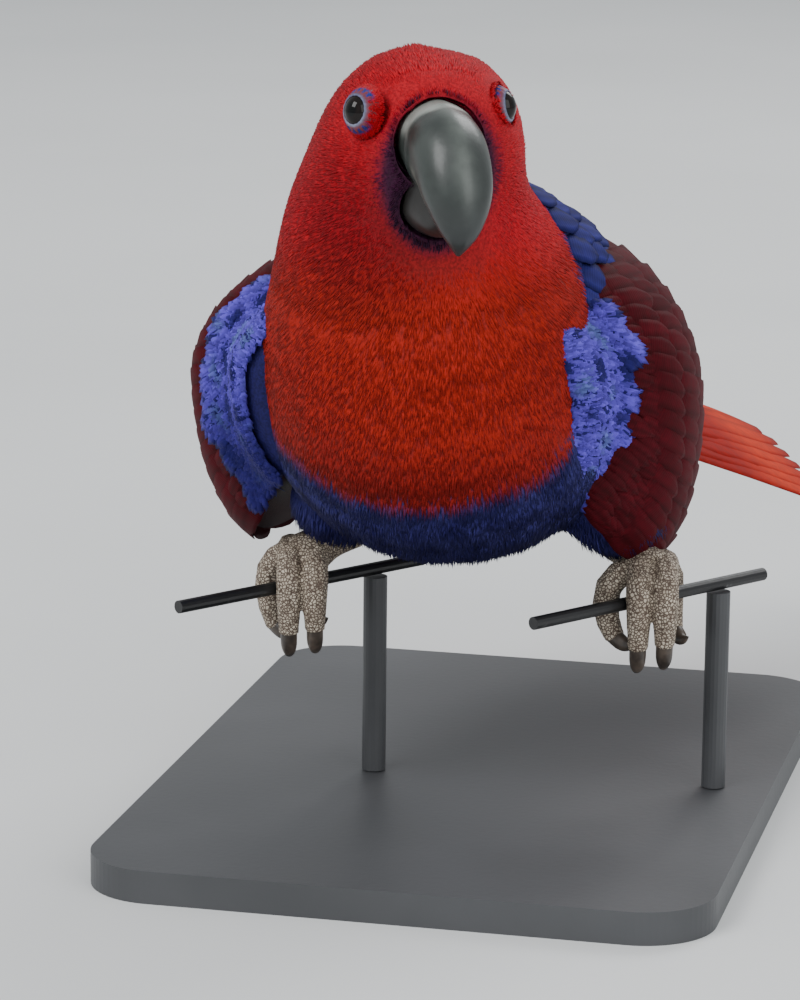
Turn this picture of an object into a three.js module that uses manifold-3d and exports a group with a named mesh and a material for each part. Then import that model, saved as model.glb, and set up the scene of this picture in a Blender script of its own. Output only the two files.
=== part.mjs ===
// A female eclectus parrot, life size and still, crouched with each foot on a short cut length of wire.
// Millimetres, +Z up. The bird faces -Y and its own left side is +X.
// The origin is the middle of the underside of the flat display base.
import * as THREE from "three";
import { mergeVertices } from "three/addons/utils/BufferGeometryUtils.js";
import Module from "manifold-3d";

const wasm = await Module();
wasm.setup();

// Driving dimensions
const GAP = 0.4; // clear space kept between two nodes that touch
const PERCH_TOP = 62; // height of the wires' top over the floor
const BIRD_X = -2; // the bird's middle plane from the middle of the base
const BIRD_Y = -32; // the feet's place from the middle of the base
const WIRE_RADIUS = 1.6;
const WIRE_LENGTH = 78;
const WIRE_ANGLE = rad(54); // the wires' direction, turned from +X towards +Y
const BASE_WIDTH = 150;
const BASE_DEPTH = 210;
const BASE_HEIGHT = 8;
const ROD_RADIUS = 3;

// Body sizes are measured from the middle plane and from the top of the wires
const HEAD = { at: v3(-2.5, -33, 111), radii: v3(22, 27, 24.5), yaw: rad(30) };
const FLESH = [
  HEAD,
  { at: v3(4, -32, 119), radii: v3(20, 22, 18), yaw: rad(30) }, // crown
  { at: v3(-6.5, -23, 91), radii: v3(30, 29, 28), yaw: rad(16) }, // neck
  { at: v3(-1, -20, 63), radii: v3(43, 38, 36), yaw: 0 }, // breast
  { at: v3(1, -2, 39), radii: v3(46, 50, 31), yaw: 0 }, // belly
  { at: v3(0, 24, 54), radii: v3(38, 46, 28), yaw: 0 }, // back
  { at: v3(4, 5, 77), radii: v3(38, 30, 24), yaw: 0 }, // mantle
  { at: v3(3, 64, 38), radii: v3(26, 36, 20), yaw: 0 }, // rump
];
const FLESH_BLEND = 7; // how far one form of the body melts into the next
const SPINE = [
  v3(6, 97, 32), v3(4, 80, 35), v3(1, 50, 42), v3(0, 22, 48), v3(0, 0, 56),
  v3(-1, -14, 72), v3(-3, -24, 92), v3(-2.5, -31, 113), v3(-2, -33, 134),
];
const BODY_RINGS = 34;
const BODY_SIDES = 24;
const NECK_CUT = { at: v3(-2, -16, 80), normal: v3(0.05, -0.42, 0.9) };
const HEAD_CUT = { at: v3(-3, -26, 99), normal: v3(0.12, -0.26, 0.96) };

const EYE_RADIUS = 4.3;
const EYE = { side: 16.2, front: 14.6, up: 12.4 }; // the eye's centre in the head's own directions
const BILL_WIDTH = 17.6;

const WING_CORE_END = 0.57;
const TAIL = { root: v3(7, 84, 34), swing: rad(24), drop: rad(14), roll: rad(20), length: 116, fan: rad(13) };
const RECTRICES = 10; // the long tail feathers
const FEET = [
  { side: 1, at: v3(49, 9.7, 0) },
  { side: -1, at: v3(-36.5, 2.3, 0) },
];
const TOE_RADIUS = 3.5;

// Sizes along the wing, from the wrist to the tip
const WING_HALF_WIDTH = [46, 61, 63, 56, 43, 31, 20];
const WING_MIDDLE_UP = [54, 47, 43, 40, 37, 34, 31];
const WING_HALF_HEIGHT = [28, 40, 44, 40, 32, 21, 10];
const WING_SPREAD = { left: 0.9, right: 1.03 }; // the left wing is held a little closer than the right
const WING_FRONT = -23;
const WING_LENGTH = 148;
const WING_TOP = rad(82); // how far the wing turns up over the back
const WING_SWEEP = rad(142); // the turn from there to the lower edge
// The shoulders' and the lower edge's squareness: less is squarer
const WING_SQUARE = { left: 0.65, right: 0.95, lower: 0.38 };
const WING_TIP_RISE = { left: 14, right: 4 }; // the left tip lies over the tail
const WING_LOWER = 1.1; // how much deeper the wing is below its middle than above

// Feathers: their thickness, and their width at even steps from root to tip as a share of the widest
const VANE_THICKNESS = 0.6;
const BLADE = [0.75, 1, 0.96, 0.66, 0.16];
const COVERT = [0.8, 1, 0.72, 0.16];
const RECTRIX = [0.7, 0.95, 1, 0.3];

// The two front toes lie side by side over the wire, at places across the way that they point.
const FRONT_TOES = [{ aside: -3.2, out: 8.6, fall: 15.5 }, { aside: 3.2, out: 9.2, fall: 14.5 }];
const TOE_HEADING = rad(12);
// The hind toes grip behind the wire: a place along it, and how far they reach down
const HIND_TOES = {
  outer: { left: 12.5, right: -6.5, fall: 12.5 },
  inner: { left: -9.5, right: 6.5, fall: 11 },
};

// Materials
const RED = finish(0xb3121c, 0.75);
const MAROON = finish(0x5c0f16, 0.7);
const SCARLET = finish(0xc93a1e, 0.7);
const INDIGO = finish(0x23225e, 0.75);
const HORN = finish(0x3a403c, 0.3);
const SCALE = finish(0xb0a593, 0.7);
const EYE_BLACK = finish(0x120d0b, 0.08);
const WIRE_BLACK = finish(0x141416, 0.35);
const STAND_GREY = finish(0x3c3e42, 0.5);

function rad(degrees) {
  return (degrees * Math.PI) / 180;
}

function v3(x, y, z) {
  return new THREE.Vector3(x, y, z);
}

function finish(color, roughness) {
  return new THREE.MeshStandardMaterial({ color, roughness, metalness: 0 });
}

// Evenly spaced values read off a short list of sizes along a length from 0 to 1.
function along(sizes, t) {
  const x = Math.min(Math.max(t, 0), 1) * (sizes.length - 1);
  const i = Math.min(Math.floor(x), sizes.length - 2);
  const at = (k) => sizes[Math.min(Math.max(k, 0), sizes.length - 1)];
  const f = x - i;
  const slope = (k) => (at(k + 1) - at(k - 1)) / 2;
  const a = 2 * f ** 3 - 3 * f ** 2 + 1;
  const b = f ** 3 - 2 * f ** 2 + f;
  return a * at(i) + b * slope(i) + (1 - a) * at(i + 1) + (f ** 3 - f ** 2) * slope(i + 1);
}

// Solids and their joins
function solidOf(geometry) {
  const bare = geometry.index ? geometry.toNonIndexed() : geometry.clone();
  bare.deleteAttribute("normal");
  bare.deleteAttribute("uv");
  const merged = mergeVertices(bare, 1e-4);
  const solid = new wasm.Manifold(
    new wasm.Mesh({
      numProp: 3,
      vertProperties: merged.attributes.position.array,
      triVerts: new Uint32Array(merged.index.array),
    }),
  );
  if (solid.volume() > 0) return solid;
  const triVerts = new Uint32Array(merged.index.array).reverse();
  return new wasm.Manifold(
    new wasm.Mesh({ numProp: 3, vertProperties: merged.attributes.position.array, triVerts }),
  );
}

function geometryOf(solid) {
  const mesh = solid.getMesh();
  const geometry = new THREE.BufferGeometry();
  const positions = new Float32Array(mesh.numVert * 3);
  for (let i = 0; i < mesh.numVert; i++) {
    positions.set(mesh.vertProperties.subarray(i * mesh.numProp, i * mesh.numProp + 3), i * 3);
  }
  geometry.setAttribute("position", new THREE.BufferAttribute(positions, 3));
  geometry.setIndex(new THREE.BufferAttribute(new Uint32Array(mesh.triVerts), 1));
  geometry.computeVertexNormals();
  return geometry;
}

// The largest closed surface of a solid, which also fills a hollow that a join has sealed.
function largest(solid) {
  return solid.decompose().reduce((a, b) => (b.volume() > a.volume() ? b : a));
}

function fuse(solids) {
  return largest(solids.reduce((a, b) => a.add(b)));
}

// A closed skin through rings of the same number of points, with a fan to the middle of each end.
function skinOf(rings, tips = [null, null]) {
  const sides = rings[0].length;
  const points = rings.flat();
  const faces = [];
  for (let r = 0; r + 1 < rings.length; r++) {
    for (let s = 0; s < sides; s++) {
      const a = r * sides + s;
      const b = r * sides + ((s + 1) % sides);
      faces.push(a, b, a + sides, b, b + sides, a + sides);
    }
  }
  [0, rings.length - 1].forEach((r, end) => {
    const middle = tips[end] ?? rings[r].reduce((m, p) => m.add(p), v3(0, 0, 0)).divideScalar(sides);
    points.push(middle);
    for (let s = 0; s < sides; s++) {
      const a = r * sides + s;
      const b = r * sides + ((s + 1) % sides);
      faces.push(...(end ? [a, b, points.length - 1] : [b, a, points.length - 1]));
    }
  });
  const geometry = new THREE.BufferGeometry().setFromPoints(points);
  geometry.setIndex(faces);
  return geometry;
}

// A round or flattened tube through points, with a half-width and half-height at each.
function limb(points, widths, heights, sides, steps, up = v3(0, 0, 1)) {
  const curve = new THREE.CatmullRomCurve3(points);
  const rings = [];
  for (let i = 0; i <= steps; i++) {
    const t = i / steps;
    const at = curve.getPoint(t);
    const ahead = curve.getTangent(t);
    const side = new THREE.Vector3().crossVectors(up, ahead).normalize();
    const top = new THREE.Vector3().crossVectors(ahead, side).normalize();
    rings.push(
      ring(sides, (c, s) =>
        at.clone().addScaledVector(side, c * along(widths, t)).addScaledVector(top, s * along(heights, t)),
      ),
    );
  }
  return skinOf(rings);
}

function ring(sides, pointAt) {
  return Array.from({ length: sides }, (_, k) => {
    const angle = (2 * Math.PI * k) / sides;
    return pointAt(Math.cos(angle), Math.sin(angle));
  });
}

// The body's flesh as one smooth form, below zero inside
function depthIn(part, p) {
  const q = p.clone().sub(part.at).applyAxisAngle(v3(0, 0, 1), -part.yaw);
  const scaled = q.clone().divide(part.radii).length();
  const steep = q.clone().divide(part.radii).divide(part.radii).length();
  return steep > 0 ? (scaled * (scaled - 1)) / steep : -Math.min(...part.radii.toArray());
}

function fleshAt(p) {
  const sum = FLESH.reduce((total, part) => total + Math.exp(-depthIn(part, p) / FLESH_BLEND), 0);
  return -FLESH_BLEND * Math.log(sum) + 3.2;
}

function reach(from, direction) {
  let inside = 0;
  let outside = 2;
  while (fleshAt(from.clone().addScaledVector(direction, outside)) < 0 && outside < 120) {
    inside = outside;
    outside += 2;
  }
  for (let i = 0; i < 14; i++) {
    const middle = (inside + outside) / 2;
    if (fleshAt(from.clone().addScaledVector(direction, middle)) < 0) inside = middle;
    else outside = middle;
  }
  return inside;
}

function bodySkin(extra, ringCount, sides) {
  const curve = new THREE.CatmullRomCurve3(SPINE);
  const rings = [];
  for (let i = 0; i <= ringCount; i++) {
    const t = i / ringCount;
    const at = curve.getPoint(t);
    const ahead = curve.getTangent(t);
    const across = v3(1, 0, 0).addScaledVector(ahead, -ahead.x).normalize();
    const side = v3(0, 0, 0).crossVectors(ahead, across);
    rings.push(
      ring(sides, (c, s) => {
        const way = across.clone().multiplyScalar(c).addScaledVector(side, s).normalize();
        return at.clone().addScaledVector(way, reach(at, way) + extra);
      }),
    );
  }
  const end = curve.getPoint(1);
  const up = curve.getTangent(1);
  const crown = end.clone().addScaledVector(up, reach(end, up) + extra);
  const tail = curve.getPoint(0).addScaledVector(curve.getTangent(0), -extra);
  return skinOf(rings, [tail, crown]);
}

function cutBy(solid, plane, side) {
  const n = plane.normal.clone().normalize().multiplyScalar(side);
  return solid.trimByPlane(n.toArray(), n.dot(plane.at) + GAP / 2);
}

// The head's own directions: to its left side, to its front, and up
const HEAD_LEFT = v3(Math.cos(HEAD.yaw), Math.sin(HEAD.yaw), 0);
const HEAD_FRONT = v3(Math.sin(HEAD.yaw), -Math.cos(HEAD.yaw), 0);

function onHead(side, front, up) {
  const level = HEAD.at.clone().addScaledVector(HEAD_LEFT, side).addScaledVector(HEAD_FRONT, front);
  return level.add(v3(0, 0, up));
}

function ball(at, radius, across = 12, down = 8) {
  const geometry = new THREE.SphereGeometry(radius, across, down);
  geometry.rotateX(Math.PI / 2);
  return geometry.translate(at.x, at.y, at.z);
}

// One eye's lids: a ring round the eyeball, facing out from the head.
function lids(side) {
  const middle = onHead(0, 0, EYE.up * 0.6);
  const out = onHead(side * 1.25 * EYE.side, EYE.front * 1.1, EYE.up).sub(middle).normalize();
  const geometry = new THREE.TorusGeometry(EYE_RADIUS + 0.1, 1, 5, 16);
  geometry.scale(0.86, 1.06, 1);
  geometry.lookAt(out);
  const at = onHead(side * EYE.side, EYE.front, EYE.up).addScaledVector(out, 1.7);
  return geometry.translate(at.x, at.y, at.z);
}

// The upper half of the bill: high at its root, narrow at its hooked tip.
function billUpper(grow = 0) {
  const points = [
    onHead(0, 15, 5), onHead(0, 22, 5.5), onHead(0, 30, 3.5),
    onHead(0, 36, -4), onHead(0, 38, -11.5), onHead(0, 37, -17.5),
  ];
  const half = BILL_WIDTH / 2;
  const widths = [half * 0.96, half, half * 0.98, half * 0.78, half * 0.5, 0.7].map((w) => w + grow);
  const heights = [8.6, 9, 8.6, 7, 4.4, 0.8].map((h) => h + grow);
  return limb(points, widths, heights, 16, 14, HEAD_FRONT.clone().add(v3(0, 0, 1.2)).normalize());
}

function billLower(grow = 0) {
  const points = [onHead(0, 13, -7), onHead(0, 20, -8.5), onHead(0, 27, -9.5), onHead(0, 32.5, -9)];
  const widths = [6.6, 7.6, 6.8, 3.2].map((w) => w + grow);
  const heights = [5.6, 6, 5, 2].map((h) => h + grow);
  return limb(points, widths, heights, 12, 6, v3(0, 0, 1));
}

// Wing guide: u runs from the wrist to the tip, v from the back down to the lower edge
function wingGuide(side, u, v, over = 0) {
  const angle = WING_TOP - v * WING_SWEEP;
  const name = side > 0 ? "left" : "right";
  const square = angle < 0 ? WING_SQUARE.lower : WING_SQUARE[name];
  const wide = along(WING_HALF_WIDTH, u) * WING_SPREAD[name] + over;
  const high = (along(WING_HALF_HEIGHT, u) + over) * (angle < 0 ? WING_LOWER : 1);
  const y = WING_FRONT + WING_LENGTH * u - 6 * Math.sin(angle);
  const middle = along(WING_MIDDLE_UP, u) + WING_TIP_RISE[name] * Math.max(u, 0) ** 3;
  return v3(side * wide * Math.cos(angle) ** square, y, middle + high * Math.sin(angle));
}

function wingOut(side, u, v) {
  const du = wingGuide(side, u + 0.01, v).sub(wingGuide(side, u - 0.01, v));
  const dv = wingGuide(side, u, v + 0.01).sub(wingGuide(side, u, v - 0.01));
  return dv.cross(du).multiplyScalar(side).normalize();
}

// The folded wing's flesh: a shell that follows the guide, thick in front and thin behind.
function wingCore(side, end = WING_CORE_END) {
  const rings = [];
  const steps = 8;
  const around = 7;
  for (let i = 0; i <= steps; i++) {
    const t = i / steps;
    const u = 0.005 + t * end;
    const thick = along([11, 13, 11, 7, 3], t);
    const shrink = i === 0 ? 3 : 0;
    const ringPoints = [];
    for (let k = 0; k <= around; k++) {
      ringPoints.push(wingGuide(side, u, 0.04 + (0.92 * k) / around, -shrink));
    }
    for (let k = around; k >= 0; k--) {
      const v = 0.07 + (0.86 * k) / around;
      ringPoints.push(wingGuide(side, u + (i === 0 ? 0.012 : 0), v, -thick + shrink));
    }
    rings.push(ringPoints);
  }
  return skinOf(rings);
}

// A feather's vane: a tapered blade along a middle line, tilted so that it shingles over the next.
function vane(line, width, outAt, taper, tilt = 0) {
  const rings = taper.map((share, i) => {
    const t = i / (taper.length - 1);
    const ahead = line(Math.min(t + 0.05, 1)).sub(line(Math.max(t - 0.05, 0))).normalize();
    const out = outAt(t);
    const across = v3(0, 0, 0).crossVectors(out, ahead).normalize();
    const half = (width / 2) * share;
    const corner = (k, h) => {
      const height = k * half * tilt + (h * VANE_THICKNESS) / 2;
      return line(t).addScaledVector(across, k * half).addScaledVector(out, height);
    };
    return [corner(-1, -1), corner(1, -1), corner(1, 1), corner(-1, 1)];
  });
  return bladeSkin(rings);
}

// A closed blade through four-cornered rings, its two broad faces split alike.
function bladeSkin(rings) {
  const faces = [];
  const quad = (a, b, c, d) => faces.push(a, b, c, a, c, d);
  for (let r = 0; r + 1 < rings.length; r++) {
    const [a, b] = [4 * r, 4 * r + 4];
    quad(a + 1, a, b, b + 1);
    quad(a + 2, a + 1, b + 1, b + 2);
    faces.push(a + 3, a + 2, b + 3, a + 2, b + 2, b + 3);
    quad(a, a + 3, b + 3, b);
  }
  const last = 4 * (rings.length - 1);
  quad(0, 1, 2, 3);
  quad(last + 3, last + 2, last + 1, last);
  const geometry = new THREE.BufferGeometry().setFromPoints(rings.flat());
  geometry.setIndex(faces);
  return geometry;
}

// One wing feather, from a root to a tip on the guide.
function wingVane(side, root, tip, lift, width, taper, tilt) {
  const uv = (t) => [root[0] + (tip[0] - root[0]) * t, root[1] + (tip[1] - root[1]) * t];
  const line = (t) => {
    const [u, v] = uv(t);
    const out = wingOut(side, u, v);
    return wingGuide(side, u, v).addScaledVector(out, lift[0] + (lift[1] - lift[0]) * Math.min(1, t * 2.2));
  };
  return vane(line, width, (t) => wingOut(side, ...uv(t)), taper, side * tilt);
}

// The feathers of a wing, tier by tier, each with its own size and lie.
const WING_TIERS = [
  { count: 6, root: [0.42, 0.48, 0.78], tip: [1, 0.5, 0.74], step: -0.045, lift: [-2.4, -2.2], fall: 0.9,
    width: 15, taper: BLADE, tilt: 0 },
  { count: 7, root: [0.42, 0.1, 0.62], tip: [0.74, 0.12, 0.76], step: -0.008, lift: [-2, -1.2], fall: 0,
    width: 16, taper: BLADE, tilt: 0.15 },
  { count: 8, root: [0.25, 0.1, 0.84], tip: [0.52, 0.12, 0.9], step: -0.004, lift: [-1.4, 0.6], fall: 0,
    width: 15, taper: COVERT, tilt: 0.13 },
  { count: 8, root: [0.1, 0.12, 0.88], tip: [0.33, 0.14, 0.92], step: -0.004, lift: [-1.2, 2], fall: 0,
    width: 15, taper: COVERT, tilt: 0.12 },
];

function wingFeathers(side) {
  return WING_TIERS.flatMap((tier) =>
    Array.from({ length: tier.count }, (_, i) => {
      const t = i / (tier.count - 1);
      const rootV = tier.root[1] + (tier.root[2] - tier.root[1]) * t;
      const tipV = tier.tip[1] + (tier.tip[2] - tier.tip[1]) * t;
      const lift = tier.lift.map((height) => height - tier.fall * i);
      const tip = [tier.tip[0] + tier.step * i, tipV];
      return wingVane(side, [tier.root[0], rootV], tip, lift, tier.width, tier.taper, tier.tilt);
    }),
  );
}

// The tail: ten long feathers in a fan, with shorter ones over and under their roots
function tailDirection(turn, drop = 0) {
  const swing = TAIL.swing + turn;
  const fall = TAIL.drop + drop;
  return v3(Math.sin(swing) * Math.cos(fall), Math.cos(swing) * Math.cos(fall), -Math.sin(fall));
}

// The fan's own directions: across it, rolled about its length, and up out of it
function tailAxes() {
  const side = tailDirection(Math.PI / 2).setZ(0).normalize().applyAxisAngle(tailDirection(0), TAIL.roll);
  return { side, up: v3(0, 0, 0).crossVectors(side, tailDirection(0)).normalize() };
}

function tailFeather(turn, drop, start, length, lift, width, taper) {
  const { side, up } = tailAxes();
  const root = TAIL.root.clone().addScaledVector(side, (turn / TAIL.fan) * 9);
  const way = tailDirection(0, drop).addScaledVector(side, Math.tan(turn)).normalize();
  const sag = (t) => -5 * t * t;
  const line = (t) => {
    const place = root.clone().addScaledVector(way, start + length * t);
    return place.addScaledVector(up, lift + sag(t));
  };
  return vane(line, width, () => up.clone(), taper);
}

function tailSolid() {
  const pieces = [];
  const centre = tailDirection(0);
  const start = TAIL.root.clone().addScaledVector(centre, -6);
  const end = TAIL.root.clone().addScaledVector(centre, 34);
  const middle = start.clone().lerp(end, 0.5);
  pieces.push(solidOf(limb([start, middle, end], [15, 14.5, 9], [10, 6, 1.4], 16, 6)));
  for (let i = 0; i < RECTRICES; i++) {
    const place = (2 * i) / (RECTRICES - 1) - 1;
    const rank = Math.round(Math.abs(place) * (RECTRICES - 1) - 1) / 2;
    const level = 1.8 - 0.9 * rank - (place > 0 ? 0.45 : 0);
    const length = TAIL.length - 9 * Math.abs(place);
    pieces.push(solidOf(tailFeather(place * TAIL.fan, 0, 2, length - 2, level, 20, RECTRIX)));
  }
  for (const over of [1, -1]) {
    for (let i = 0; i < 4; i++) {
      const place = (2 * i) / 3 - 1;
      const length = (over > 0 ? 62 : 58) - 8 * Math.abs(place);
      const lift = over > 0 ? 6 : -5.5;
      const drop = over > 0 ? rad(3.2) : rad(-2.6);
      pieces.push(solidOf(tailFeather(place * TAIL.fan * 0.8, drop, -3, length, lift, 14, COVERT)));
    }
  }
  return fuse(pieces);
}

// Feet and perches
const WIRE_WAY = v3(Math.cos(WIRE_ANGLE), Math.sin(WIRE_ANGLE), 0);

function wire(foot, grow = 0) {
  const geometry = new THREE.CylinderGeometry(WIRE_RADIUS + grow, WIRE_RADIUS + grow, WIRE_LENGTH, 14);
  geometry.rotateZ(-Math.PI / 2);
  geometry.rotateZ(WIRE_ANGLE);
  return geometry.translate(foot.at.x, foot.at.y, -WIRE_RADIUS);
}

// A place near a foot: along its wire, across it to the front, and up
const WIRE_FRONT = v3(Math.sin(WIRE_ANGLE), -Math.cos(WIRE_ANGLE), 0);

function atFoot(foot, sideways, front, up) {
  const level = foot.at.clone().addScaledVector(WIRE_WAY, sideways).addScaledVector(WIRE_FRONT, front);
  return level.add(v3(0, 0, up));
}

function toeSkin(path, nail) {
  const r = TOE_RADIUS;
  const widths = [r, r, r * 0.98, r * 0.94, r * 0.72];
  const heights = [r, r, r * 0.95, r * 0.9, r * 0.7];
  const bones = limb(path, widths, heights, 8, 6, WIRE_WAY);
  const claw = limb(nail, [1.7, 1.6, 1.1, 0.3], [1.9, 1.7, 1.1, 0.3], 6, 4, WIRE_WAY);
  return [solidOf(bones), solidOf(claw)];
}

function frontToe(foot, toe) {
  const ahead = v3(Math.sin(TOE_HEADING), -Math.cos(TOE_HEADING), 0);
  const aside = v3(-ahead.y, ahead.x, 0);
  const root = foot.at.clone().addScaledVector(aside, toe.aside);
  const at = (out, up) => root.clone().addScaledVector(ahead, out).add(v3(0, 0, up));
  const [o, f] = [toe.out, toe.fall];
  const path = [at(-3, 7), at(2, 6.4), at(o * 0.8, 4), at(o, -2.5), at(o * 0.9, 3 - f)];
  const nail = [at(o * 0.92, 4.6 - f), at(o * 0.78, -f), at(o * 0.5, -2.6 - f), at(o * 0.25, -3.6 - f)];
  return toeSkin(path, nail);
}

function hindToe(foot, reachAlong, fall) {
  const a = (share, front, up) => atFoot(foot, reachAlong * share, front, up);
  const back = -(WIRE_RADIUS + TOE_RADIUS + GAP);
  const path = [
    a(0.1, 0, 6.5), a(0.6, back * 0.6, 5.6), a(0.95, back, 1.6),
    a(1, back * 1.04, -5), a(0.9, back * 0.6, -fall),
  ];
  const nail = [
    a(0.94, back * 0.8, 1.6 - fall), a(0.88, back * 0.2, -0.6 - fall),
    a(0.82, 1.2, -0.8 - fall), a(0.8, 3, 0.2 - fall),
  ];
  return toeSkin(path, nail);
}

function toes(foot) {
  const name = foot.side > 0 ? "left" : "right";
  return [
    ...FRONT_TOES.flatMap((toe) => frontToe(foot, toe)),
    ...Object.values(HIND_TOES).flatMap((toe) => hindToe(foot, toe[name], toe.fall)),
  ];
}

// The bare shank, which lies inward and back from the toes under the belly.
function ankle(foot, grow = 0) {
  const top = foot.at.clone().add(v3(-foot.side * 12, 6, 11));
  const middle = foot.at.clone().add(v3(-foot.side * 5.5, 2.5, 8.6));
  const widths = [4.2, 4.7, 6.2].map((w) => w + grow);
  return solidOf(limb([top, middle, foot.at.clone().add(v3(0, -1, 5))], widths, widths, 12, 6, v3(0, 1, 0)));
}

// The feathered thigh and shank of one leg.
function leg(foot) {
  const top = foot.at.clone().add(v3(-foot.side * 16, 2, 32));
  const middle = foot.at.clone().add(v3(-foot.side * 9, 3, 20));
  const bottom = foot.at.clone().add(v3(-foot.side * 8, 4.5, 13));
  return limb([top, middle, bottom], [14, 15, 9.5], [15, 15.5, 9.5], 16, 7, v3(0, 1, 0));
}

// Stand
function rod(foot) {
  const height = PERCH_TOP - 2 * WIRE_RADIUS - BASE_HEIGHT - GAP - 0.3;
  const geometry = new THREE.CylinderGeometry(ROD_RADIUS, ROD_RADIUS, height, 20);
  geometry.rotateX(Math.PI / 2);
  const place = foot.at.clone().addScaledVector(WIRE_WAY, WIRE_LENGTH * 0.3);
  return geometry.translate(place.x, place.y, BASE_HEIGHT + 0.3 + height / 2 - PERCH_TOP);
}

function baseGeometry() {
  const corner = 18;
  const shape = new THREE.Shape();
  const x = BASE_WIDTH / 2;
  const y = BASE_DEPTH / 2;
  shape.moveTo(-x + corner, -y);
  shape.lineTo(x - corner, -y);
  shape.absarc(x - corner, -y + corner, corner, -Math.PI / 2, 0);
  shape.absarc(x - corner, y - corner, corner, 0, Math.PI / 2);
  shape.absarc(-x + corner, y - corner, corner, Math.PI / 2, Math.PI);
  shape.absarc(-x + corner, -y + corner, corner, Math.PI, 1.5 * Math.PI);
  return new THREE.ExtrudeGeometry(shape, { depth: BASE_HEIGHT, bevelEnabled: false, curveSegments: 8 });
}

// Assembly
const model = new THREE.Group();
const bird = new THREE.Group();
bird.position.set(BIRD_X, BIRD_Y, PERCH_TOP);
model.add(bird);

function place(name, geometry, material, parent = bird) {
  const mesh = new THREE.Mesh(geometry, material);
  mesh.name = name;
  parent.add(mesh);
}

const flesh = solidOf(bodySkin(0, BODY_RINGS, BODY_SIDES));
const clearOfFlesh = solidOf(bodySkin(GAP + 0.15, BODY_RINGS, BODY_SIDES));
const upper = solidOf(billUpper());
const upperRoom = solidOf(billUpper(GAP));
const lower = largest(solidOf(billLower()).subtract(upperRoom));
const lowerRoom = solidOf(billLower(GAP));

let head = cutBy(flesh, HEAD_CUT, 1);
head = fuse([head, solidOf(lids(1)), solidOf(lids(-1))]);
for (const side of [1, -1]) {
  head = head.subtract(solidOf(ball(onHead(side * EYE.side, EYE.front, EYE.up), EYE_RADIUS + GAP)));
}
head = largest(head.subtract(upperRoom).subtract(lowerRoom));
place("head", geometryOf(head), RED);
place("neck", geometryOf(largest(cutBy(cutBy(flesh, NECK_CUT, 1), HEAD_CUT, -1))), RED);
place("torso", geometryOf(largest(cutBy(flesh, NECK_CUT, -1))), INDIGO);
place("bill_upper", geometryOf(upper), HORN);
place("bill_lower", geometryOf(lower), HORN);
for (const [name, side] of [["left", 1], ["right", -1]]) {
  place("eye_" + name, ball(onHead(side * EYE.side, EYE.front, EYE.up), EYE_RADIUS), EYE_BLACK);
}

const tail = largest(tailSolid().subtract(clearOfFlesh));
place("tail", geometryOf(tail), SCARLET);
const tailLine = [-8, 30, 70].map((far) => TAIL.root.clone().addScaledVector(tailDirection(0), far));
const tailRoom = solidOf(limb(tailLine, [20, 26, 33], [12, 11, 10], 16, 8, tailAxes().up));

for (const foot of FEET) {
  const name = foot.side > 0 ? "left" : "right";
  const legRoom = solidOf(leg(foot));
  const thigh = largest(legRoom.subtract(clearOfFlesh));
  const footSolid = fuse([ankle(foot), ...toes(foot)]);
  const shank = fuse([ankle(foot, GAP + 0.2), ...toes(foot)]);
  place("leg_" + name, geometryOf(largest(thigh.subtract(shank))), INDIGO);
  const bareFoot = largest(footSolid.subtract(solidOf(wire(foot, GAP))).subtract(clearOfFlesh));
  place("foot_" + name, geometryOf(bareFoot), SCALE);
  const feathers = wingFeathers(foot.side).map((g) => solidOf(g));
  const wing = fuse([solidOf(wingCore(foot.side)), ...feathers]);
  const folded = wing.subtract(clearOfFlesh).subtract(tailRoom).subtract(legRoom).subtract(shank);
  place("wing_" + name, geometryOf(largest(folded)), MAROON);
  place("perch_" + name, wire(foot), WIRE_BLACK);
  place("stand_rod_" + name, rod(foot), STAND_GREY);
}
place("stand_base", baseGeometry(), STAND_GREY, model);

export default model;
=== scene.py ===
"""A museum model of a female eclectus parrot: skin, coat, flight feathers, bill, eyes, feet and stand."""
import math

import bpy
import numpy as np
from mathutils import Matrix, Vector
from mathutils.bvhtree import BVHTree


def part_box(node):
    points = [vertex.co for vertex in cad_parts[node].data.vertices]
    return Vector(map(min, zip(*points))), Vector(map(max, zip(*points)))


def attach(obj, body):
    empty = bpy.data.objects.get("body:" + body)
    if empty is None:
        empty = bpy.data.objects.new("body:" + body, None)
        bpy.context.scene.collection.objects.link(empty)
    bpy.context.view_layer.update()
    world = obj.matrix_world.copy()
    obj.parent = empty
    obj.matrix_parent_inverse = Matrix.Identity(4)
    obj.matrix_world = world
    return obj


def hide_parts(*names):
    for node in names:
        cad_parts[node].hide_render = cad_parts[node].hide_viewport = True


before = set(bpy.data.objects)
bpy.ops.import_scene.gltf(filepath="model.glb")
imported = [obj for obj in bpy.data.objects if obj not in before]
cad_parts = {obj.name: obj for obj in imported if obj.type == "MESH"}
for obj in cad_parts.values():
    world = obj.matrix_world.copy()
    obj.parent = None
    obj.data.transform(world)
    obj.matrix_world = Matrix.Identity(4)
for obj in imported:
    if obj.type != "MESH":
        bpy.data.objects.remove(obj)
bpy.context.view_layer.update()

bl_info = {
    "name": "Perched parrot",
    "version": (1, 0, 0),
    "blender": (4, 5, 0),
    "location": "3D View > Sidebar > Parrot",
    "description": "Builds the plumage, bill, eyes, feet and stand of a life-size perched parrot",
    "category": "Object",
}

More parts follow.
